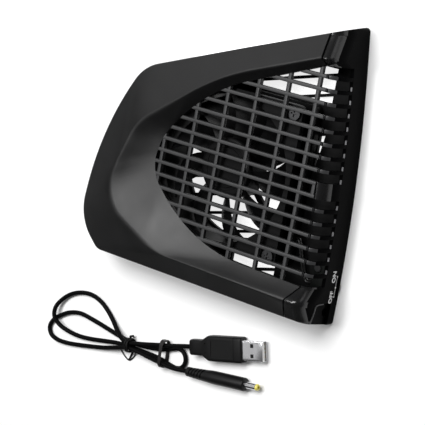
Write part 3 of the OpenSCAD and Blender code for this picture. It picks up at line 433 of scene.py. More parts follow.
def merged(name, pieces):
    """One new object from the meshes of several, which are dropped."""
    work = bmesh.new()
    for piece in pieces:
        work.from_mesh(piece.data)
        bpy.data.objects.remove(piece)
    mesh = bpy.data.meshes.new(name)
    work.to_mesh(mesh)
    work.free()
    return link(bpy.data.objects.new(name, mesh))


def settle(piece, body, slot_name, *replaced):
    """Rides the piece on its body and hides the CAD nodes that it takes the place of."""
    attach(piece, body)
    if replaced:
        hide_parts(*replaced)
    print(piece.name, "has", len(piece.data.polygons), "faces")


def dress(piece, slot_name, *replaced, angle=32, body="casing"):
    """Shades the piece with its slot's own finish and settles it."""
    soft_edges(piece, finishes[slot_name], angle)
    settle(piece, body, slot_name, *replaced)


print("helpers: skin, prism, carve, merged, settle, dress")

# %% [markdown]
# ## The line of the side face
#
# The right side of the case isn't straight. It rises straight from the bottom
# corner and then bows inward in one long arc up to the top corner. Everything near
# it follows it: the seam, the bend of the end piece, the ribs and the switch.

# %% Side face
SIDE_X, BOW_Y, BOW_R = 0.5023 * CASE_W, -0.0131 * CASE_H, 940.0
LEAN = radians(8.75)
BOW_LOW = BOW_Y - BOW_R * tan(LEAN / 2)
BOW_HIGH = BOW_LOW + BOW_R * sin(LEAN)
WALL = 2.2
SEAM_IN, SEAM_GAP = 8.3, 1.0
BEND_W, BEND_H = 7.6, 14.0
GRILLE_Z, RIM_Z = 28.7, 35.0
UNDER_ALL, OVER_ALL = -5, 45


def side_turn(y):
    if y < BOW_LOW:
        return 0.0
    return min(LEAN, asin(min(1.0, (y - BOW_LOW) / BOW_R)))


def side_at(y):
    t = side_turn(y)
    over = max(0.0, y - BOW_HIGH)
    return SIDE_X - BOW_R * (1 - cos(t)) - over * tan(LEAN)


def seam_at(y):
    return side_at(y) - SEAM_IN


top_slope = (BASE[0][1] - BASE[1][1]) / (BASE[0][0] - BASE[1][0])
side_top_y = ((BASE[1][1] + top_slope * (SIDE_X + BOW_Y * tan(LEAN) - BASE[1][0]))
              / (1 + top_slope * tan(LEAN)))
back_line = outline([(side_at(side_top_y), side_top_y, 2.5), *BASE[1:6], (SIDE_X, BASE[6][1], 2.5),
                     (SIDE_X, BOW_Y, BOW_R)])
print("side face runs up to y =", round(side_top_y, 2), "mm")

# %% [markdown]
# ## The shells' surface
#
# From the table upward the surface leans in, rounds over a soft edge, climbs as a
# band to a raised ridge, and falls into a slightly hollow bowl round the grille.
# The ridge is a small Bezier arc between the band and the bowl, so it has no crease
# and draws the thin bright line that the photograph shows.

# %% Rings of the outer and inner surface
def arc_of(a, c, b, t):
    """A point on the curve from a to b that is pulled towards c."""
    return a * (1 - t) ** 2 + c * (2 * t * (1 - t)) + b * t ** 2


# The wall from the table up to the foot of the band, as pairs of inset and height
WALL_STEPS = ((0.4, 0.0), (0.12, 0.12), (0.06, 0.5), (1.5, 14.0), (2.9, 26.9), (2.98, 27.45), (3.14, 27.9),
              (3.38, 28.2), (3.7, 28.4), (4.2, 28.6))
RIDGE_HALF, CURVE = 2.0, 6
HOLLOW_SHARE, MOST_HOLLOW = 0.035, 0.7


def outer_rings():
    rings = [raised(outline(BASE, inset), z) for inset, z in WALL_STEPS]
    foot, rim, mouth = rings[-1], raised(outline(RIM), RIM_Z), raised(outline(MOUTH), GRILLE_Z)
    ridge, bowl = [], []
    for e, r, m in zip(foot, rim, mouth):
        up, down = (e - r).normalized() * RIDGE_HALF, (m - r).normalized() * RIDGE_HALF
        top = r - Vector((0, 0, 0.25 * (up.z + down.z)))
        a, b = top + up, top + down
        ridge.append([arc_of(a, top, b, k / CURVE) for k in range(CURVE + 1)])
        low = (b + m) / 2 - Vector((0, 0, min(MOST_HOLLOW, HOLLOW_SHARE * (m - b).length)))
        bowl.append([arc_of(b, low, m, k / CURVE) for k in range(1, CURVE + 1)])
    rings += [[p[k] for p in ridge] for k in range(CURVE + 1)]
    rings += [[p[k] for p in bowl] for k in range(CURVE)]
    return rings


def inner_rings():
    return [raised(outline(BASE, WALL), -1), raised(outline(BASE, 3 + WALL), 25.94),
            raised(outline(RIM), RIM_Z - 2.53), raised(outline(MOUTH, -1.5), GRILLE_Z - 2.5)]


surface = outer_rings()
mouth_line = [Vector((p.x, p.y)) for p in surface[-1]]
print("rings of the outer surface:", len(surface))

# %% Seam between the two shells
FAR = 130.0
seam_line = [(seam_at(y), y) for y in [FAR - 4 * k for k in range(48)] if y > -60.5]
seam_line += [(seam_at(-60.5), -60.5), (73.0, -68.4), (70.9, -79.9), (70.9, -FAR)]
print("points along the seam:", len(seam_line))

# %% [markdown]
# ## Front shell
#
# The front shell is everything left of the seam: a hollow shell, open at the back,
# with the mouth of the grille cut through it. Three exact cuts make it from the
# skin: the hollow, the mouth and the side beyond the seam.

# %% Front shell
front_shell = carve(
    skin("front_shell", surface), skin("hollow", inner_rings()), prism("mouth", mouth_line, 20, 40),
    prism("beyond_seam", seam_line + [(FAR, -FAR), (FAR, FAR)], UNDER_ALL, OVER_ALL))
dress(front_shell, "shell_plastic", "front_cover")

# %% [markdown]
# ## Grille
#
# Sixteen slats run across the mouth and six bars stand across them. They repeat, so
# Geometry Nodes make them: a mesh of plain lines goes in, each line becomes a curve,
# and a rectangle with rounded corners is swept along it. The lines' ends lie a
# little inside the shell's wall. The same tree makes the ribs of the end piece.

# %% A tree that sweeps a rounded bar along each line
def new_tree(name, inputs, result):
    """A tree of geometry nodes with these inputs, its first node, and the one that its mesh goes into."""
    tree = bpy.data.node_groups.new(name, "GeometryNodeTree")
    for label, kind, value in (*inputs, ("Finish", "Material", None)):
        socket = tree.interface.new_socket(label, in_out="INPUT", socket_type="NodeSocket" + kind)
        if value is not None:
            socket.default_value = value
    tree.interface.new_socket(result, in_out="OUTPUT", socket_type="NodeSocketGeometry")
    start, end = new_nodes(tree, "NodeGroup", "Input", "Output")
    real, paint = new_nodes(tree, "GeometryNode", "RealizeInstances", "SetMaterial")
    join(tree, (real, "Geometry", paint, "Geometry"), (start, "Finish", paint, "Material"),
         (paint, "Geometry", end, result))
    return tree, start, real


def bar_tree():
    tree, start, real = new_tree("bars_along_lines", (
        ("Lines", "Geometry", None), ("Width", "Float", 0.002), ("Thickness", "Float", 0.002),
        ("Edge Radius", "Float", 0.0003)), "Bars")
    lines, section, rounded, sweep = new_nodes(
        tree, "GeometryNode", "MeshToCurve", "CurvePrimitiveQuadrilateral", "FilletCurve", "CurveToMesh")
    rounded.mode = "POLY"
    fill(rounded, {"Count": 3})
    fill(sweep, {"Fill Caps": True})
    join(tree, (start, "Lines", lines, "Mesh"), (start, "Width", section, "Width"),
         (start, "Thickness", section, "Height"), (section, "Curve", rounded, "Curve"),
         (start, "Edge Radius", rounded, "Radius"), (lines, "Curve", sweep, "Curve"),
         (rounded, "Curve", sweep, "Profile Curve"), (sweep, "Mesh", real, "Geometry"))
    return tree


def grow(obj, name, tree, values):
    """Runs the tree on the object with these inputs and returns the plain mesh."""
    step = obj.modifiers.new("grow", "NODES")
    step.node_group = tree
    for item in tree.interface.items_tree:
        if item.item_type == "SOCKET" and item.in_out == "INPUT" and item.name in values:
            step[item.identifier] = values[item.name]
    grown = plain(obj, name)
    face_out(grown.data)
    return grown


def bars(name, lines, width, thickness, edge, material, slot_name, top=None):
    """Bars along lines in millimetres, on the casing. Faces that look up can have a lighter finish, a painted
    highlight.
    """
    points, edges = [], []
    for line in lines:
        edges += [(len(points) + k, len(points) + k + 1) for k in range(len(line) - 1)]
        points += line
    mesh = bpy.data.meshes.new(name)
    mesh.from_pydata([place(*p) for p in points], edges, [])
    grown = grow(link(bpy.data.objects.new(name, mesh)), name, BARS, {
        "Width": width * MM, "Thickness": thickness * MM, "Edge Radius": edge * MM, "Finish": material})
    soft_edges(grown, material)
    if top:
        paint_lit_tops(grown, top, upward=0.5)
    settle(grown, "casing", slot_name)


BARS = bar_tree()
print("inputs of the tree:", [i.name for i in BARS.interface.items_tree if i.in_out == "INPUT"])

# %% Lines of the slats and bars
SLATS, SLAT_PITCH, SLAT_W, SLAT_T = 16, 7.3, 2.1, 2.5
FIRST_SLAT, FIRST_BAR, BAR_PITCH, BAR_W = 0.336 * CASE_H, 0.378 * CASE_W, 19.7, 2.2
BAR_COUNT, BAR_SUNK, EDGE_R = 6, 0.06, 0.3
TUCK = 1.2   # how far the ends lie inside the shell's wall
PATCH = 8    # the first slat, from the top, that ends at the solid patch
RIB_HALF = 1.1


def slat_y(i):
    return FIRST_SLAT - i * SLAT_PITCH


def crossings(line, axis, value):
    """Where the closed line crosses x = value (axis 0) or y = value (axis 1)."""
    found = []
    for p, q in zip(line, line[1:] + line[:1]):
        if (p[axis] - value) * (q[axis] - value) < 0:
            found.append(p.lerp(q, (value - p[axis]) / (q[axis] - p[axis]))[1 - axis])
    return sorted(found)


slat_z = GRILLE_Z - SLAT_T / 2
bar_z = GRILLE_Z - BAR_SUNK - SLAT_T / 2
slat_lines = [[(crossings(mouth_line, 1, y)[0] - TUCK, y, slat_z), (seam_at(y), y, slat_z)]
              for y in [slat_y(i) for i in range(SLATS)]]
bar_lines = []
for j in range(BAR_COUNT):
    x = FIRST_BAR - j * BAR_PITCH
    low, high = crossings(mouth_line, 0, x)
    bar_lines.append([(x, low - TUCK, bar_z), (x, high + TUCK, bar_z)])
patch_x = seam_at(slat_y(PATCH)) - RIB_HALF
bar_lines.append([(patch_x, slat_y(PATCH) - SLAT_PITCH, bar_z), (patch_x, slat_y(PATCH), bar_z)])
# The slats and bars take the lighter copy of the case plastic: painted light on the grille.
bars("slats", slat_lines, SLAT_W, SLAT_T, EDGE_R, slat_plastic_painted_light, "shell_plastic")
bars("uprights", bar_lines, BAR_W, SLAT_T - 2 * BAR_SUNK, EDGE_R, slat_plastic_painted_light, "shell_plastic")

# %% [markdown]
# ## End piece
#
# The end piece is the gloss part right of the seam. Its front edge rolls over into
# the side face in a tall rounded bend. The bend is a cutter: a section with a
# quarter of an ellipse in it, carried along the side face, at the height that the
# front has there. The same cutter, one wall further in, shapes the hollow.

# %% Height of the front along the bend
QUARTER = 14             # steps in a quarter of an ellipse
PAST, SHAVE = 20, 0.02   # how far the cutter reaches past the surface, and how far its bend lies over it


def bend_height():
    """Pairs of y and z where the outer surface meets the start of the bend."""
    pairs = []
    for ring in surface[5:]:
        for p, q in zip(ring, ring[1:] + ring[:1]):
            a, b = p.x - side_at(p.y) + BEND_W, q.x - side_at(q.y) + BEND_W
            if a * b < 0:
                r = p.lerp(q, a / (a - b))
                pairs.append((r.y, r.z))
    pairs.sort()
    return [(-FAR, pairs[0][1])] + pairs + [(FAR, pairs[-1][1])]


heights = bend_height()


def height_at(y):
    for (y0, z0), (y1, z1) in zip(heights, heights[1:]):
        if y0 <= y <= y1:
            return z0 + (z1 - z0) * (y - y0) / (y1 - y0)
    return GRILLE_Z


def bend_cutter(name, d):
    """What is cut away to round the front edge, for a wall d inside the outer face."""
    stations = sorted(set([round(y, 3) for y, z in heights] + [4 * k - 100 for k in range(50)]))
    rings = []
    for y in stations:
        t = side_turn(y)
        e = Vector((cos(t), sin(t), 0))
        o = Vector((side_at(y), y, 0)) - d * e
        z, w, h = height_at(y) + SHAVE - d, BEND_W - d, BEND_H - d
        ring = []
        for k in range(QUARTER + 1):
            a = pi / 2 * k / QUARTER
            ring.append(o + (w * cos(a) - w) * e + Vector((0, 0, z - h + h * sin(a))))
        rings.append(ring + [o - w * e + Vector((0, 0, z + PAST)), o + PAST * e + Vector((0, 0, z + PAST)),
                             o + PAST * e + Vector((0, 0, z - h))])
    return skin(name, rings)


front = [z for y, z in heights]
print("front's height at the bend, mm:", round(min(front), 1), "to", round(max(front), 1))

# %% Body of the end piece
back = prism("back", back_line, UNDER_ALL, OVER_ALL)
end_shell = carve(skin("end_shell", surface), back, operation="INTERSECT")
cap_edge = [(x + SEAM_GAP, y) for x, y in seam_line]
end_shell = carve(end_shell, bend_cutter("bend", 0.0),
                  prism("before_seam", cap_edge + [(-FAR, -FAR), (-FAR, FAR)], UNDER_ALL, OVER_ALL))
inside = [(side_at(y) - WALL / cos(side_turn(y)), y) for y in range(-120, 121, 4)]
inward = prism("inward", inside + [(-FAR, 120), (-FAR, -120)], 2 * UNDER_ALL, OVER_ALL)
cavity = carve(skin("cavity", inner_rings()), inward, operation="INTERSECT")
cavity = carve(cavity, bend_cutter("inner_bend", WALL))
end_shell = carve(end_shell, cavity)
print("end piece before its openings:", len(end_shell.data.polygons), "faces")

# %% [markdown]
# Two windows, above and below the solid patch, are cut through the bend, with
# floors that slope a little. The ribs are swept across them afterwards, with
# rounded edges. The socket's recess is an arch that is open at the bottom end.

# %% Windows of the end piece
TROUGH_LOW, TROUGH_TOP = -60.5, 67.06
FLOOR_LOW, FLOOR_TOP = 16, 13.8
WINDOW_REACH, WINDOW_OVER = 12, 2.55


def floor_at(y):
    return FLOOR_LOW + (FLOOR_TOP - FLOOR_LOW) * (y - TROUGH_LOW) / (TROUGH_TOP - TROUGH_LOW)


def window(name, low, high):
    """A cutter from one y to the other, over the sloping floor."""
    rings = []
    for y in (low, high):
        x0, x1, z = seam_at(y) - WINDOW_REACH, SIDE_X + WINDOW_REACH, floor_at(y)
        rings.append([Vector((x, y, h)) for x, h in ((x0, z), (x1, z), (x1, OVER_ALL), (x0, OVER_ALL))])
    return skin(name, rings)


upper = (slat_y(PATCH) + RIB_HALF, slat_y(-0.5) + WINDOW_OVER)
lower = (slat_y(SLATS - 0.5) - WINDOW_OVER, slat_y(PATCH + 1) - RIB_HALF)
end_shell = carve(end_shell, window("upper_window", *upper), window("lower_window", *lower))
print("windows, mm:", [round(v, 1) for v in upper + lower])

# %% Recess, socket hole and switch window
JACK_Y, JACK_Z, SWITCH_Y, KNOB_Z = -0.4464 * CASE_H, 8.6, -0.36 * CASE_H, 2.1
RECESS_D, RECESS_R, SOCKET_R, SOCKET_D, SWITCH_D = 1.8, 3, 2.4, 5, 3.5


def circle(r, sides):
    return [(r * cos(tau * k / sides), r * sin(tau * k / sides)) for k in range(sides)]


def quarter(x, y, r, start):
    """A quarter of a circle about (x, y), from the given quarter turn onwards."""
    turns = [pi / 2 * (start + k / 8) for k in range(9)]
    return [(x + r * cos(a), y + r * sin(a)) for a in turns]


def side_prism(name, section, y0, z0, depth, out=8.0):
    """A prism whose section lies in the side face at y0, z0, cut to a depth."""
    t = side_turn(y0)
    rings = []
    for x in (-depth, out):
        rings.append([Vector((side_at(y0) + x * cos(t) - v * sin(t),
                              y0 + x * sin(t) + v * cos(t), z0 + w)) for v, w in section])
    return skin(name, rings)


arch = [(-30, -2.7)] + quarter(2.8, 0.3, RECESS_R, -1) + quarter(2.8, 10.4, RECESS_R, 0) + [(-30, 13.4)]
slide = [(-6.2, -1.0), (6.2, -1.0), (6.2, 1.0), (-6.2, 1.0)]
end_shell = carve(end_shell, side_prism("recess", arch, JACK_Y, JACK_Z, RECESS_D),
                  side_prism("socket_hole", circle(SOCKET_R, 40), JACK_Y, JACK_Z, SOCKET_D),
                  side_prism("switch_window", slide, SWITCH_Y, KNOB_Z, SWITCH_D))
soft_edges(end_shell, finishes["gloss_plastic"], angle=28)
# The upward faces of the end piece get a lighter, glossier copy of its finish: painted light on its top.
paint_lit_tops(end_shell, gloss_painted_light, upward=0.35)
settle(end_shell, "casing", "gloss_plastic", "end_cap")

# %% Ribs across the windows
RIB_IN = 1.15   # from the outer face to the middle of a rib


def rib_line(y):
    x, z = side_at(y) - BEND_W, height_at(y)
    line = [(seam_at(y) + SEAM_GAP, y, z - RIB_IN), (x - 0.05, y, z - RIB_IN)]
    for k in range(1, QUARTER + 1):
        a = pi / 2 * (1 - k / QUARTER)
        line.append((x + (BEND_W - RIB_IN) * cos(a), y, z - BEND_H + (BEND_H - RIB_IN) * sin(a)))
    return line + [(x + BEND_W - RIB_IN, y, floor_at(y) - 1.2)]


rib_lines = [rib_line(slat_y(i)) for i in range(SLATS) if i not in (PATCH, PATCH + 1)]
# The ribs' upward faces take a lighter finish: a painted highlight along their tops.
bars("ribs", rib_lines, 2 * RIB_HALF, 2 * RIB_HALF, EDGE_R, finishes["gloss_plastic"], "gloss_plastic", painted_rib_highlight)

# %% [markdown]
# ## Bright edges
#
# In the photograph the lower edges of the slots and the edge of the socket's recess
# draw thin bright lines. Thin bars of a lighter finish stand for that light here:
# they aren't forms that can be seen as such.

# %% Painted glints on the lips of the slots and the rim of the recess
LIP_W, RIM_W, LIP_T, LIP_EDGE = 1.1, 1.5, 0.5, 0.15


def face_x(y, z):
    """Where the outer face of the end piece is, at this y and height."""
    rise = max(0.0, z - height_at(y) + BEND_H) / BEND_H
    return side_at(y) - BEND_W + BEND_W * sqrt(max(0.0, 1 - rise * rise))


lip_lines = []
for i in range(SLATS):
    for first, last in (upper, lower):
        a, b = slat_y(i) - RIB_HALF, slat_y(i + 1) + RIB_HALF
        if first <= b and a <= last:
            lip_lines.append([(side_at(v) - 0.75, v, floor_at(v) + 0.12) for v in (b + 2.2, b + 1.1, b)])
recess_edge = [(-80.2, 21.9), (-74, 21.9), (-70.6, 21.9), (-69.4, 20.8), (-69.1, 18.5), (-69.1, 14.5)]
rim_line = [(face_x(v, w) - 0.1, v, w) for v, w in recess_edge]
bars("lip_glints", lip_lines, LIP_W, LIP_T, LIP_EDGE, edge_shine, "gloss_plastic")
bars("recess_rim_glint", [rim_line], RIM_W, LIP_T, LIP_EDGE, painted_rib_highlight, "gloss_plastic")

# %% [markdown]
# ## White legend
#
# Beside the switch the side face has a small white legend, printed flat. Here it is
# plain OFF and ON, over a thin line with three dots that mark where the knob stops.
# Each word is a text object made a mesh, and its points are then laid on the bowed
# face.

# %% Legend on the side face
def word(text, y0, z0, size):
    """The text, laid on the side face about y0, z0."""
    curve = bpy.data.curves.new("word_" + text, "FONT")
    curve.body = text
    curve.size = size
    curve.align_x = "CENTER"
    curve.align_y = "CENTER"
    curve.extrude = 0.03
    curve.offset = 0.11
    obj = plain(link(bpy.data.objects.new("word_" + text, curve)), "word_" + text)
    for vertex in obj.data.vertices:
        u, v, w = vertex.co
        vertex.co = place(side_at(y0 + u) + 0.02 + w, y0 + u, z0 + v)
    return obj


def dot(y0, z0, r, half=0.0):
    """A dot, or with a half length a line with round ends."""
    sides = 16
    points = [(y0 + half * s + r * cos(tau * k / sides), z0 + r * sin(tau * k / sides))
              for s, ks in ((1, range(-4, 5)), (-1, range(4, 13))) for k in ks]
    return skin("dot", [[Vector((side_at(v) + x, v, z)) for v, z in points] for x in (0.01, 0.06)])


legend = merged("legend", [
    word("OFF", -65.9, 7.4, 4.2), word("ON", -54.0, 7.6, 4.4), dot(-65.9, 4.6, 0.45), dot(-60.4, 4.6, 0.6),
    dot(-54.0, 4.6, 0.45), dot(-60.0, 4.6, 0.13, 5.6)])
legend.data.materials.append(legend_white)
settle(legend, "casing", "tongue_white")

# %% [markdown]
# ## Fan rotor
#
# The rotor is a cup with nine swept blades. One blade is drawn as a skin over curved
# sections with rounded edges, and a second tree of Geometry Nodes turns it round
# the hub nine times, because it repeats. The hub is a turned profile.

# %% A blade
FAN = Vector((0.0552 * CASE_W, -0.0565 * CASE_H, 4.0))
BLADES, ROOT_R, TIP_R = 9, 17.3, 41.8
FIRST_BLADE, LEAN_FORWARD = radians(30), radians(14)
WRAP_ROOT, WRAP_TIP = 0.84, 0.74   # shares of the space that a blade has
BLADE_LOW, BLADE_RISE, BLADE_ARCH, BLADE_T, NOSE = 4.2, 12.3, 2.2, 1.3, 0.35


def blade_ring(s):
    """The blade's section at the share s of the way from its root to its tip."""
    r = ROOT_R + s * (TIP_R - ROOT_R)
    sweep = radians((WRAP_ROOT + (WRAP_TIP - WRAP_ROOT) * s) * 360 / BLADES)
    low, high = [], []
    for k in range(15):
        u = k / 14
        a = sweep * (u - 0.5) + LEAN_FORWARD * s * s
        z = BLADE_LOW + BLADE_RISE * u + BLADE_ARCH * sin(pi * u) * (1 - s / 2)
        low.append(Vector((r * cos(a), r * sin(a), z)))
        high.append(Vector((r * cos(a), r * sin(a), z + BLADE_T)))

    def nose(p, turn, lift):
        return Matrix.Rotation(turn / r, 3, "Z") @ p + Vector((0, 0, lift))

    front = [nose(low[-1], NOSE, NOSE), nose(low[-1], NOSE, BLADE_T - NOSE)]
    back = [nose(low[0], -NOSE, BLADE_T - NOSE), nose(low[0], -NOSE, NOSE)]
    return low + front + high[::-1] + back


blade = skin("blade", [blade_ring(k / 10) for k in range(11)])
print("faces in one blade:", len(blade.data.polygons))

# %% A tree that repeats a piece round an axis
def round_tree():
    tree, start, real = new_tree("round_an_axis", (
        ("Piece", "Geometry", None), ("Count", "Int", 9), ("First Angle", "Float", 0.5),
        ("Axis", "Vector", None)), "Ring")
    points, copies, number = new_nodes(tree, "GeometryNode", "Points", "InstanceOnPoints", "InputIndex")
    step, angle, spin = new_nodes(tree, "ShaderNode", "Math", "Math", "CombineXYZ")
    step.operation, angle.operation = "DIVIDE", "MULTIPLY_ADD"
    step.inputs[0].default_value = tau
    join(tree, (start, "Count", points, "Count"), (start, "Axis", points, "Position"),
         (start, "Count", step, 1), (number, 0, angle, 0), (step, 0, angle, 1), (start, "First Angle", angle, 2),
         (angle, 0, spin, "Z"), (points, 0, copies, "Points"), (start, "Piece", copies, "Instance"),
         (spin, 0, copies, "Rotation"), (copies, 0, real, "Geometry"))
    return tree


blade.data.transform(Matrix.Translation(-place(0, 0)))
blades = grow(blade, "blades", round_tree(), {"Count": BLADES, "First Angle": FIRST_BLADE,
                                              "Axis": tuple(place(*FAN)), "Finish": finishes["fan_plastic"]})
print("faces in nine blades:", len(blades.data.polygons))

# %% Hub and rotor
def turned(name, profile, centre, steps=72):
    """A solid turned about an upright axis through centre, from pairs of radius and height."""
    points, faces = [], []
    n = len(profile)
    for k in range(steps):
        a = tau * k / steps
        points += [centre + Vector((r * cos(a), r * sin(a), z)) for r, z in profile]
        ahead = (k + 1) % steps
        faces += [(k * n + i, ahead * n + i, ahead * n + i + 1, k * n + i + 1) for i in range(n - 1)]
    piece = mesh_object(name, points, faces)
    face_out(piece.data)
    return piece


hub_profile = [(0.0001, 17.2), (16.6, 17.2), (16.6, 3.6), (16.9, 3.6), (18.0, 3.7), (18.0, 16.9), (17.8, 17.7),
               (17.3, 18.3), (16.5, 18.7), (15.6, 18.8), (13.4, 18.8), (13.1, 18.5), (11.8, 18.5), (11.5, 18.8),
               (0.0001, 18.8)]
rotor = merged("rotor", [turned("hub", hub_profile, FAN), blades])
dress(rotor, "fan_plastic", "fan_rotor", body="rotor")

# %% [markdown]
# ## The lead
#
# The lead is a thin soft cable, about 0.49 m long, with a USB plug on one end and a
# round power plug on the other. It runs through a tie, out into a loop, back
# through the tie, round a small fold by the plugs, out into a second loop and back
# again. A Bezier curve would need handles, so the route is a list of points
# with a smooth line drawn through them.

# %% Route of the lead
LEAD_D = 2.8
lead_points = [
    (-4, -124.3, 4), (-8, -125.35, 4), (-12.3, -126.6, 4.15), (-16.2, -127.75, 4.35), (-20.5, -129, 4.55),
    (-25.5, -130.2, 4.7), (-31, -131.7, 4.8),
    (-38, -133.6, 5), (-45, -135.3, 5.5), (-50.5, -136.5, 5.7), (-56, -136.2, 5.3), (-62.5, -132.8, 3.6),
    (-69.5, -127.5, 1.8), (-75.5, -122.8, 1.5), (-82, -119.2, 1.5), (-89.5, -117.6, 1.5), (-97.5, -118.5, 1.5),
    (-105.5, -121.8, 1.7), (-111.5, -127, 2.8), (-114.6, -133, 4.5), (-114, -139, 4.9), (-109.5, -143.4, 3.6),
    (-102, -145.8, 2), (-93, -146.2, 1.5), (-83, -144.9, 1.5), (-73.5, -143, 1.5), (-62, -140.8, 1.8),
    (-50, -139.7, 2.5), (-41, -139.6, 2.2), (-33, -139.6, 2), (-26, -140, 2.25), (-20, -141.1, 2),
    (-14.8, -141.7, 1.5), (-10.5, -139.9, 1.5), (-8.7, -135.6, 1.5), (-10.5, -131.3, 1.5), (-14.8, -129.5, 1.5),
    (-20, -131.1, 1.9), (-26.5, -133.4, 2.25), (-33, -135, 2), (-41, -136.1, 2.2), (-50.5, -136.5, 2.5),
    (-58, -136.4, 1.9), (-67, -135.4, 1.5), (-76, -134, 1.5), (-86, -132.6, 1.5), (-96, -131.8, 1.5),
    (-104.5, -133.8, 1.5), (-111.3, -137.6, 1.5), (-116.9, -142.2, 1.5), (-119.3, -147.6, 1.5),
    (-117, -152.2, 1.5), (-111.2, -154, 1.5), (-104.5, -153.8, 1.5), (-96.5, -152.6, 1.5), (-84, -149.9, 1.6),
    (-72, -146.9, 2.4), (-60, -142.8, 4.4), (-50, -139.7, 5.7), (-41, -139.9, 5.4), (-33, -140.5, 5.2),
    (-25, -141, 5.25), (-17, -141.3, 5.1), (-11.2, -141.05, 4.5), (-7, -140.41, 4), (-4, -140, 4)]


def smooth_line(points, steps):
    """A line through all the points, rounded between them."""
    p = [Vector(q) for q in points]
    line = []
    for i in range(len(p) - 1):
        a, b, c, d = p[max(i - 1, 0)], p[i], p[i + 1], p[min(i + 2, len(p) - 1)]
        for k in range(steps):
            t = k / steps
            line.append(0.5 * (2 * b + (c - a) * t + (2 * a - 5 * b + 4 * c - d) * t * t
                               + (3 * b - a - 3 * c + d) * t ** 3))
    return line + [p[-1]]


def round_wire(name, line, radius, around=False, sides=5):
    """A curve object with a round section, from points of the scene."""
    data = bpy.data.curves.new(name, "CURVE")
    data.dimensions = "3D"
    spline = data.splines.new("POLY")
    spline.points.add(len(line) - 1)
    for point, p in zip(spline.points, line):
        point.co = (*p, 1)
    spline.use_cyclic_u = around
    data.bevel_depth = radius * MM
    data.bevel_resolution = sides
    data.use_fill_caps = not around
    return link(bpy.data.objects.new(name, data))


lead_line = [place(*p) for p in smooth_line(lead_points, 6)]
lead = round_wire("lead", lead_line, LEAD_D / 2)
lead.data.materials.append(finishes["cord_jacket"])
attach(lead, "casing")
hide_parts("cord")

# %% [markdown]
# ## USB plug
#
# The plug's housing is one soft moulding: a narrow neck, a taper and a flat body
# with rounded edges, a shallow panel on its top and two small dimples. It is a skin
# over rounded rectangles of changing size, in the plug's own frame, which is turned
# to lie as the lead does. The steel shell is folded sheet with two square holes.

# %% Frames and rounded sections
def turned_frame(x, y, z, degrees):
    """A function that takes points of a turned frame to points of the drawing."""
    at, c, s = Vector((x, y, z)), cos(radians(degrees)), sin(radians(degrees))
    return lambda u, v, w: at + Vector((u * c - v * s, u * s + v * c, w))


def rounded_pairs(w, h, r, steps):
    """A rectangle with rounded corners about the middle, as pairs."""
    pairs = []
    for q, (sy, sz) in enumerate(((1, 1), (-1, 1), (-1, -1), (1, -1))):
        for k in range(steps + 1):
            a = pi / 2 * (q + k / steps)
            pairs.append((sy * (w / 2 - r) + r * cos(a), sz * (h / 2 - r) + r * sin(a)))
    return pairs


on_usb = turned_frame(-4, -124.3, 4, 14.7)


def rounded_ring(x, w, h, r, steps=5):
    return [on_usb(x, y, z) for y, z in rounded_pairs(w, h, r, steps)]


def usb_block(name, x0, x1, y0, y1, z0, z1, r=0.0):
    section = [(x0, y0), (x1, y0), (x1, y1), (x0, y1)]
    if r:
        section = [((x0 + x1) / 2 + u, (y0 + y1) / 2 + v) for u, v in rounded_pairs(x1 - x0, y1 - y0, r, 5)]
    return skin(name, [[on_usb(x, y, z) for x, y in section] for z in (z0, z1)])


print("the USB plug's neck is at", tuple(round(v, 1) for v in on_usb(0, 0, 0)))

# %% USB housing
# Rings from the neck to the open end, each with its place, width, height and corner radius
usb_sections = [(0, 8.4, 5.4, 1.6), (0.25, 9.1, 6.1, 1.7), (0.8, 9.6, 6.6, 1.8), (4.5, 9.6, 6.7, 1.8),
                (8.6, 9.6, 6.8, 1.8), (9.6, 10.3, 6.9, 1.8), (13.2, 14.4, 7.5, 1.8), (14.4, 15.3, 7.6, 1.8),
                (20, 15.4, 7.6, 1.8), (33.1, 15.4, 7.6, 1.8), (33.3, 15.0, 7.2, 1.7), (33.7, 15.0, 7.2, 1.7),
                (33.9, 15.4, 7.6, 1.8), (37.4, 15.4, 7.6, 1.8), (38.1, 15.1, 7.3, 1.7), (38.5, 14.3, 6.5, 1.4)]
usb_housing = carve(
    skin("usb_housing_moulding", [rounded_ring(*s) for s in usb_sections]),
    usb_block("panel", 16.5, 31.5, -5.3, 5.3, 3.5, 6, 1.6),
    *[usb_block("dimple", 12.0, 13.0, y - 0.5, y + 0.5, 3.1, 6, 0.3) for y in (-2.9, 2.9)])
dress(usb_housing, "plug_plastic", "usb_housing", angle=40)

# %% USB shell
shell_rings = [(29.5, 12, 4.5, 0.6), (53.0, 12, 4.5, 0.6), (53.3, 11.8, 4.3, 0.5)]
usb_shell = carve(
    skin("usb_steel_shell", [rounded_ring(*s, 4) for s in shell_rings]),
    skin("shell_bore", [rounded_ring(x, 11.3, 3.8, 0.4, 4) for x in (30, 54)]),
    *[usb_block("latch_hole", 44.57, 46.77, y - 1.1, y + 1.1, 1.2, 4, 0.15) for y in (-3, 3)],
    usb_block("fold", 29, 54, -0.06, 0.06, -4, -1.5))
dress(usb_shell, "steel", "usb_shell")

# %% Painted shade: a dark sheet under the two holes
painted_shade_sheet = usb_block("usb_painted_shade_sheet", 44.0, 47.3, -4.6, 4.6, 1.5, 1.86)
dress(painted_shade_sheet, "plug_plastic")

# %% [markdown]
# ## Power plug
#
# A round moulding with a ribbed relief at its tail, a polished barrel and a yellow
# insulating tip. The relief's ribs lean, so the rings of its skin are tilted there.

# %% Round plug moulding
on_plug = turned_frame(-4, -140, 4, 7.8)


def plug_rings(profile, sides=40):
    """Rings from a profile of place along the axis, radius and tilt."""
    return [[on_plug(x + tilt * y, y, z) for y, z in circle(r, sides)] for x, r, tilt in profile]


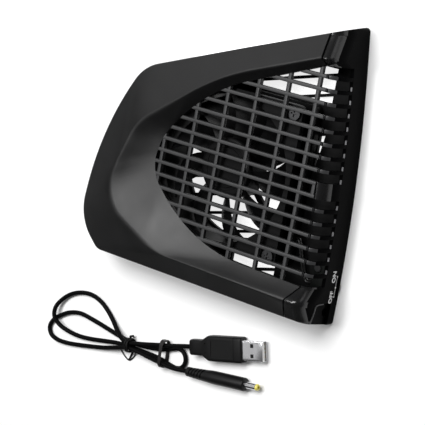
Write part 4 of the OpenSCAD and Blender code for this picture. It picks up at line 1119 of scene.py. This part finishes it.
relief = [(0.0, 2.3, 0.0), (0.1, 2.75, 0.0), (0.4, 2.9, 0.0), (1.5, 2.95, 0.1)]
for i in range(5):
    x, r = 2.2 + i * 2.3, 2.95 + 0.13 * i
    relief += [(x, r, 0.35), (x + 0.25, r - 0.75, 0.35), (x + 0.95, r - 0.75, 0.35), (x + 1.2, r + 0.07, 0.35)]
body = [(14.6, 3.62, 0.15), (16.0, 3.75, 0.0), (19.0, 3.95, 0.0), (21.5, 4.0, 0.0), (42.3, 4.0, 0.0),
        (42.8, 3.9, 0.0), (43.1, 3.65, 0.0), (43.2, 3.3, 0.0)]
plug_moulding = skin("power_plug_moulding", plug_rings(relief + body))
dress(plug_moulding, "plug_plastic", "dc_plug_body", "dc_plug_relief", angle=40)

# %% Tip of the power plug
tip_profile = [(51.0, 0.9, 0.0), (51.0, 1.7, 0.0), (51.1, 1.97, 0.0), (51.3, 2.0, 0.0), (51.9, 2.0, 0.0),
               (52.3, 1.9, 0.0), (52.55, 1.65, 0.0), (52.7, 1.25, 0.0), (52.7, 0.95, 0.0), (51.6, 0.9, 0.0)]
plug_tip = skin("power_plug_tip", plug_rings(tip_profile, 36))
dress(plug_tip, "tip_yellow", "dc_tip", angle=45)

# %% [markdown]
# ## Ties
#
# The first tie is a thin wire: wound three times round the bundle, with a twisted
# ear on top and a loose loop that hangs out over the table. The second is a strip of
# dark film folded round the runs. Wires are curves with a round section, made
# meshes. The strip is a skin over crumpled sections that follow the bundle.

# %% Wire tie
on_wire_tie = turned_frame(-50.3, -138.1, 0, 8)
WIRE_R, THIN_R = 0.42, 0.4


def loop_points(w, h, r, steps=6):
    """A rounded rectangle standing on the table, as pairs of across and up."""
    return [(y, h / 2 + z) for y, z in rounded_pairs(w, h, r, steps)]


def tie_wire(points, radius, around=False):
    return plain(round_wire("wire", [place(*p) for p in points], radius, around, 3), "wire")


wires = []
for x, lean in ((-0.95, 0.25), (0.0, -0.3), (0.9, 0.2)):
    turn = [on_wire_tie(x + lean * sin(0.9 * i), y, z + WIRE_R)
            for i, (y, z) in enumerate(loop_points(8.3, 8.3, 3.6))]
    wires.append(tie_wire(turn, WIRE_R, True))
ear = [(-0.5, 4.2, 3.2), (-0.9, 5.1, 3.9), (-0.2, 5.8, 4.1), (0.6, 5.4, 3.2), (0.9, 4.8, 2.2), (0.2, 5.7, 1.9),
       (-0.7, 5.5, 2.6), (-0.2, 4.3, 3.6)]
wires.append(tie_wire(smooth_line([on_wire_tie(*p) for p in ear], 5), THIN_R))
hanging = [(-60.9, -142.6, 1.3), (-59.2, -144.9, 0.55), (-55.6, -147.6, 0.45), (-52.4, -148.9, 0.45),
           (-50.6, -147.9, 0.45), (-48.4, -144.9, 0.6), (-47.4, -142.3, 1.5)]
wires.append(tie_wire(smooth_line(hanging, 6), WIRE_R))
doubled = [(-50.4, -142.4, 0.9), (-50.9, -144.4, 0.55), (-51.6, -146.6, 0.5), (-52.3, -148.3, 0.45)]
for shift in (0.0, 0.8):
    strand = [(x + shift * (1 - i / 4), y, z) for i, (x, y, z) in enumerate(doubled)]
    wires.append(tie_wire(smooth_line(strand, 5), THIN_R))
wire_tie = merged("wire_tie", wires)
face_out(wire_tie.data)
dress(wire_tie, "tie_black", "cord_tie")

# %% Film tie
on_film_tie = turned_frame(-24.2, -135.2, 0, 8)
FILM_T = 0.55


def band_ring(i, y, z, total):
    """The corners of the strip's crumpled section at one point of its way round."""
    a = tau * i / total
    slant = 0.07 * y + 0.25 * sin(3 * a)
    half = 1.55 + 0.35 * sin(2 * a + 0.8) - 0.25 * max(0.0, sin(a))
    inward = Vector((0, -y, 3.8 - z)).normalized() * FILM_T
    section = ((-half, 0.0), (-half * 0.5, -0.09), (0.0, 0.05), (half * 0.5, -0.08), (half, 0.0), (half, 1.0),
               (-half, 1.0))
    return [on_film_tie(x + slant, y + inward.y * (d + 0.1), z + inward.z * (d + 0.1)) for x, d in section]


band_path = loop_points(17.3, 7.5, 3.0, 7)
band_rings = [band_ring(i, y, z, len(band_path)) for i, (y, z) in enumerate(band_path)]
film_tie = skin("film_tie", band_rings, closed=True)
dress(film_tie, "tie_grey", "cord_band", angle=50)

print("pieces on the lead: 10")
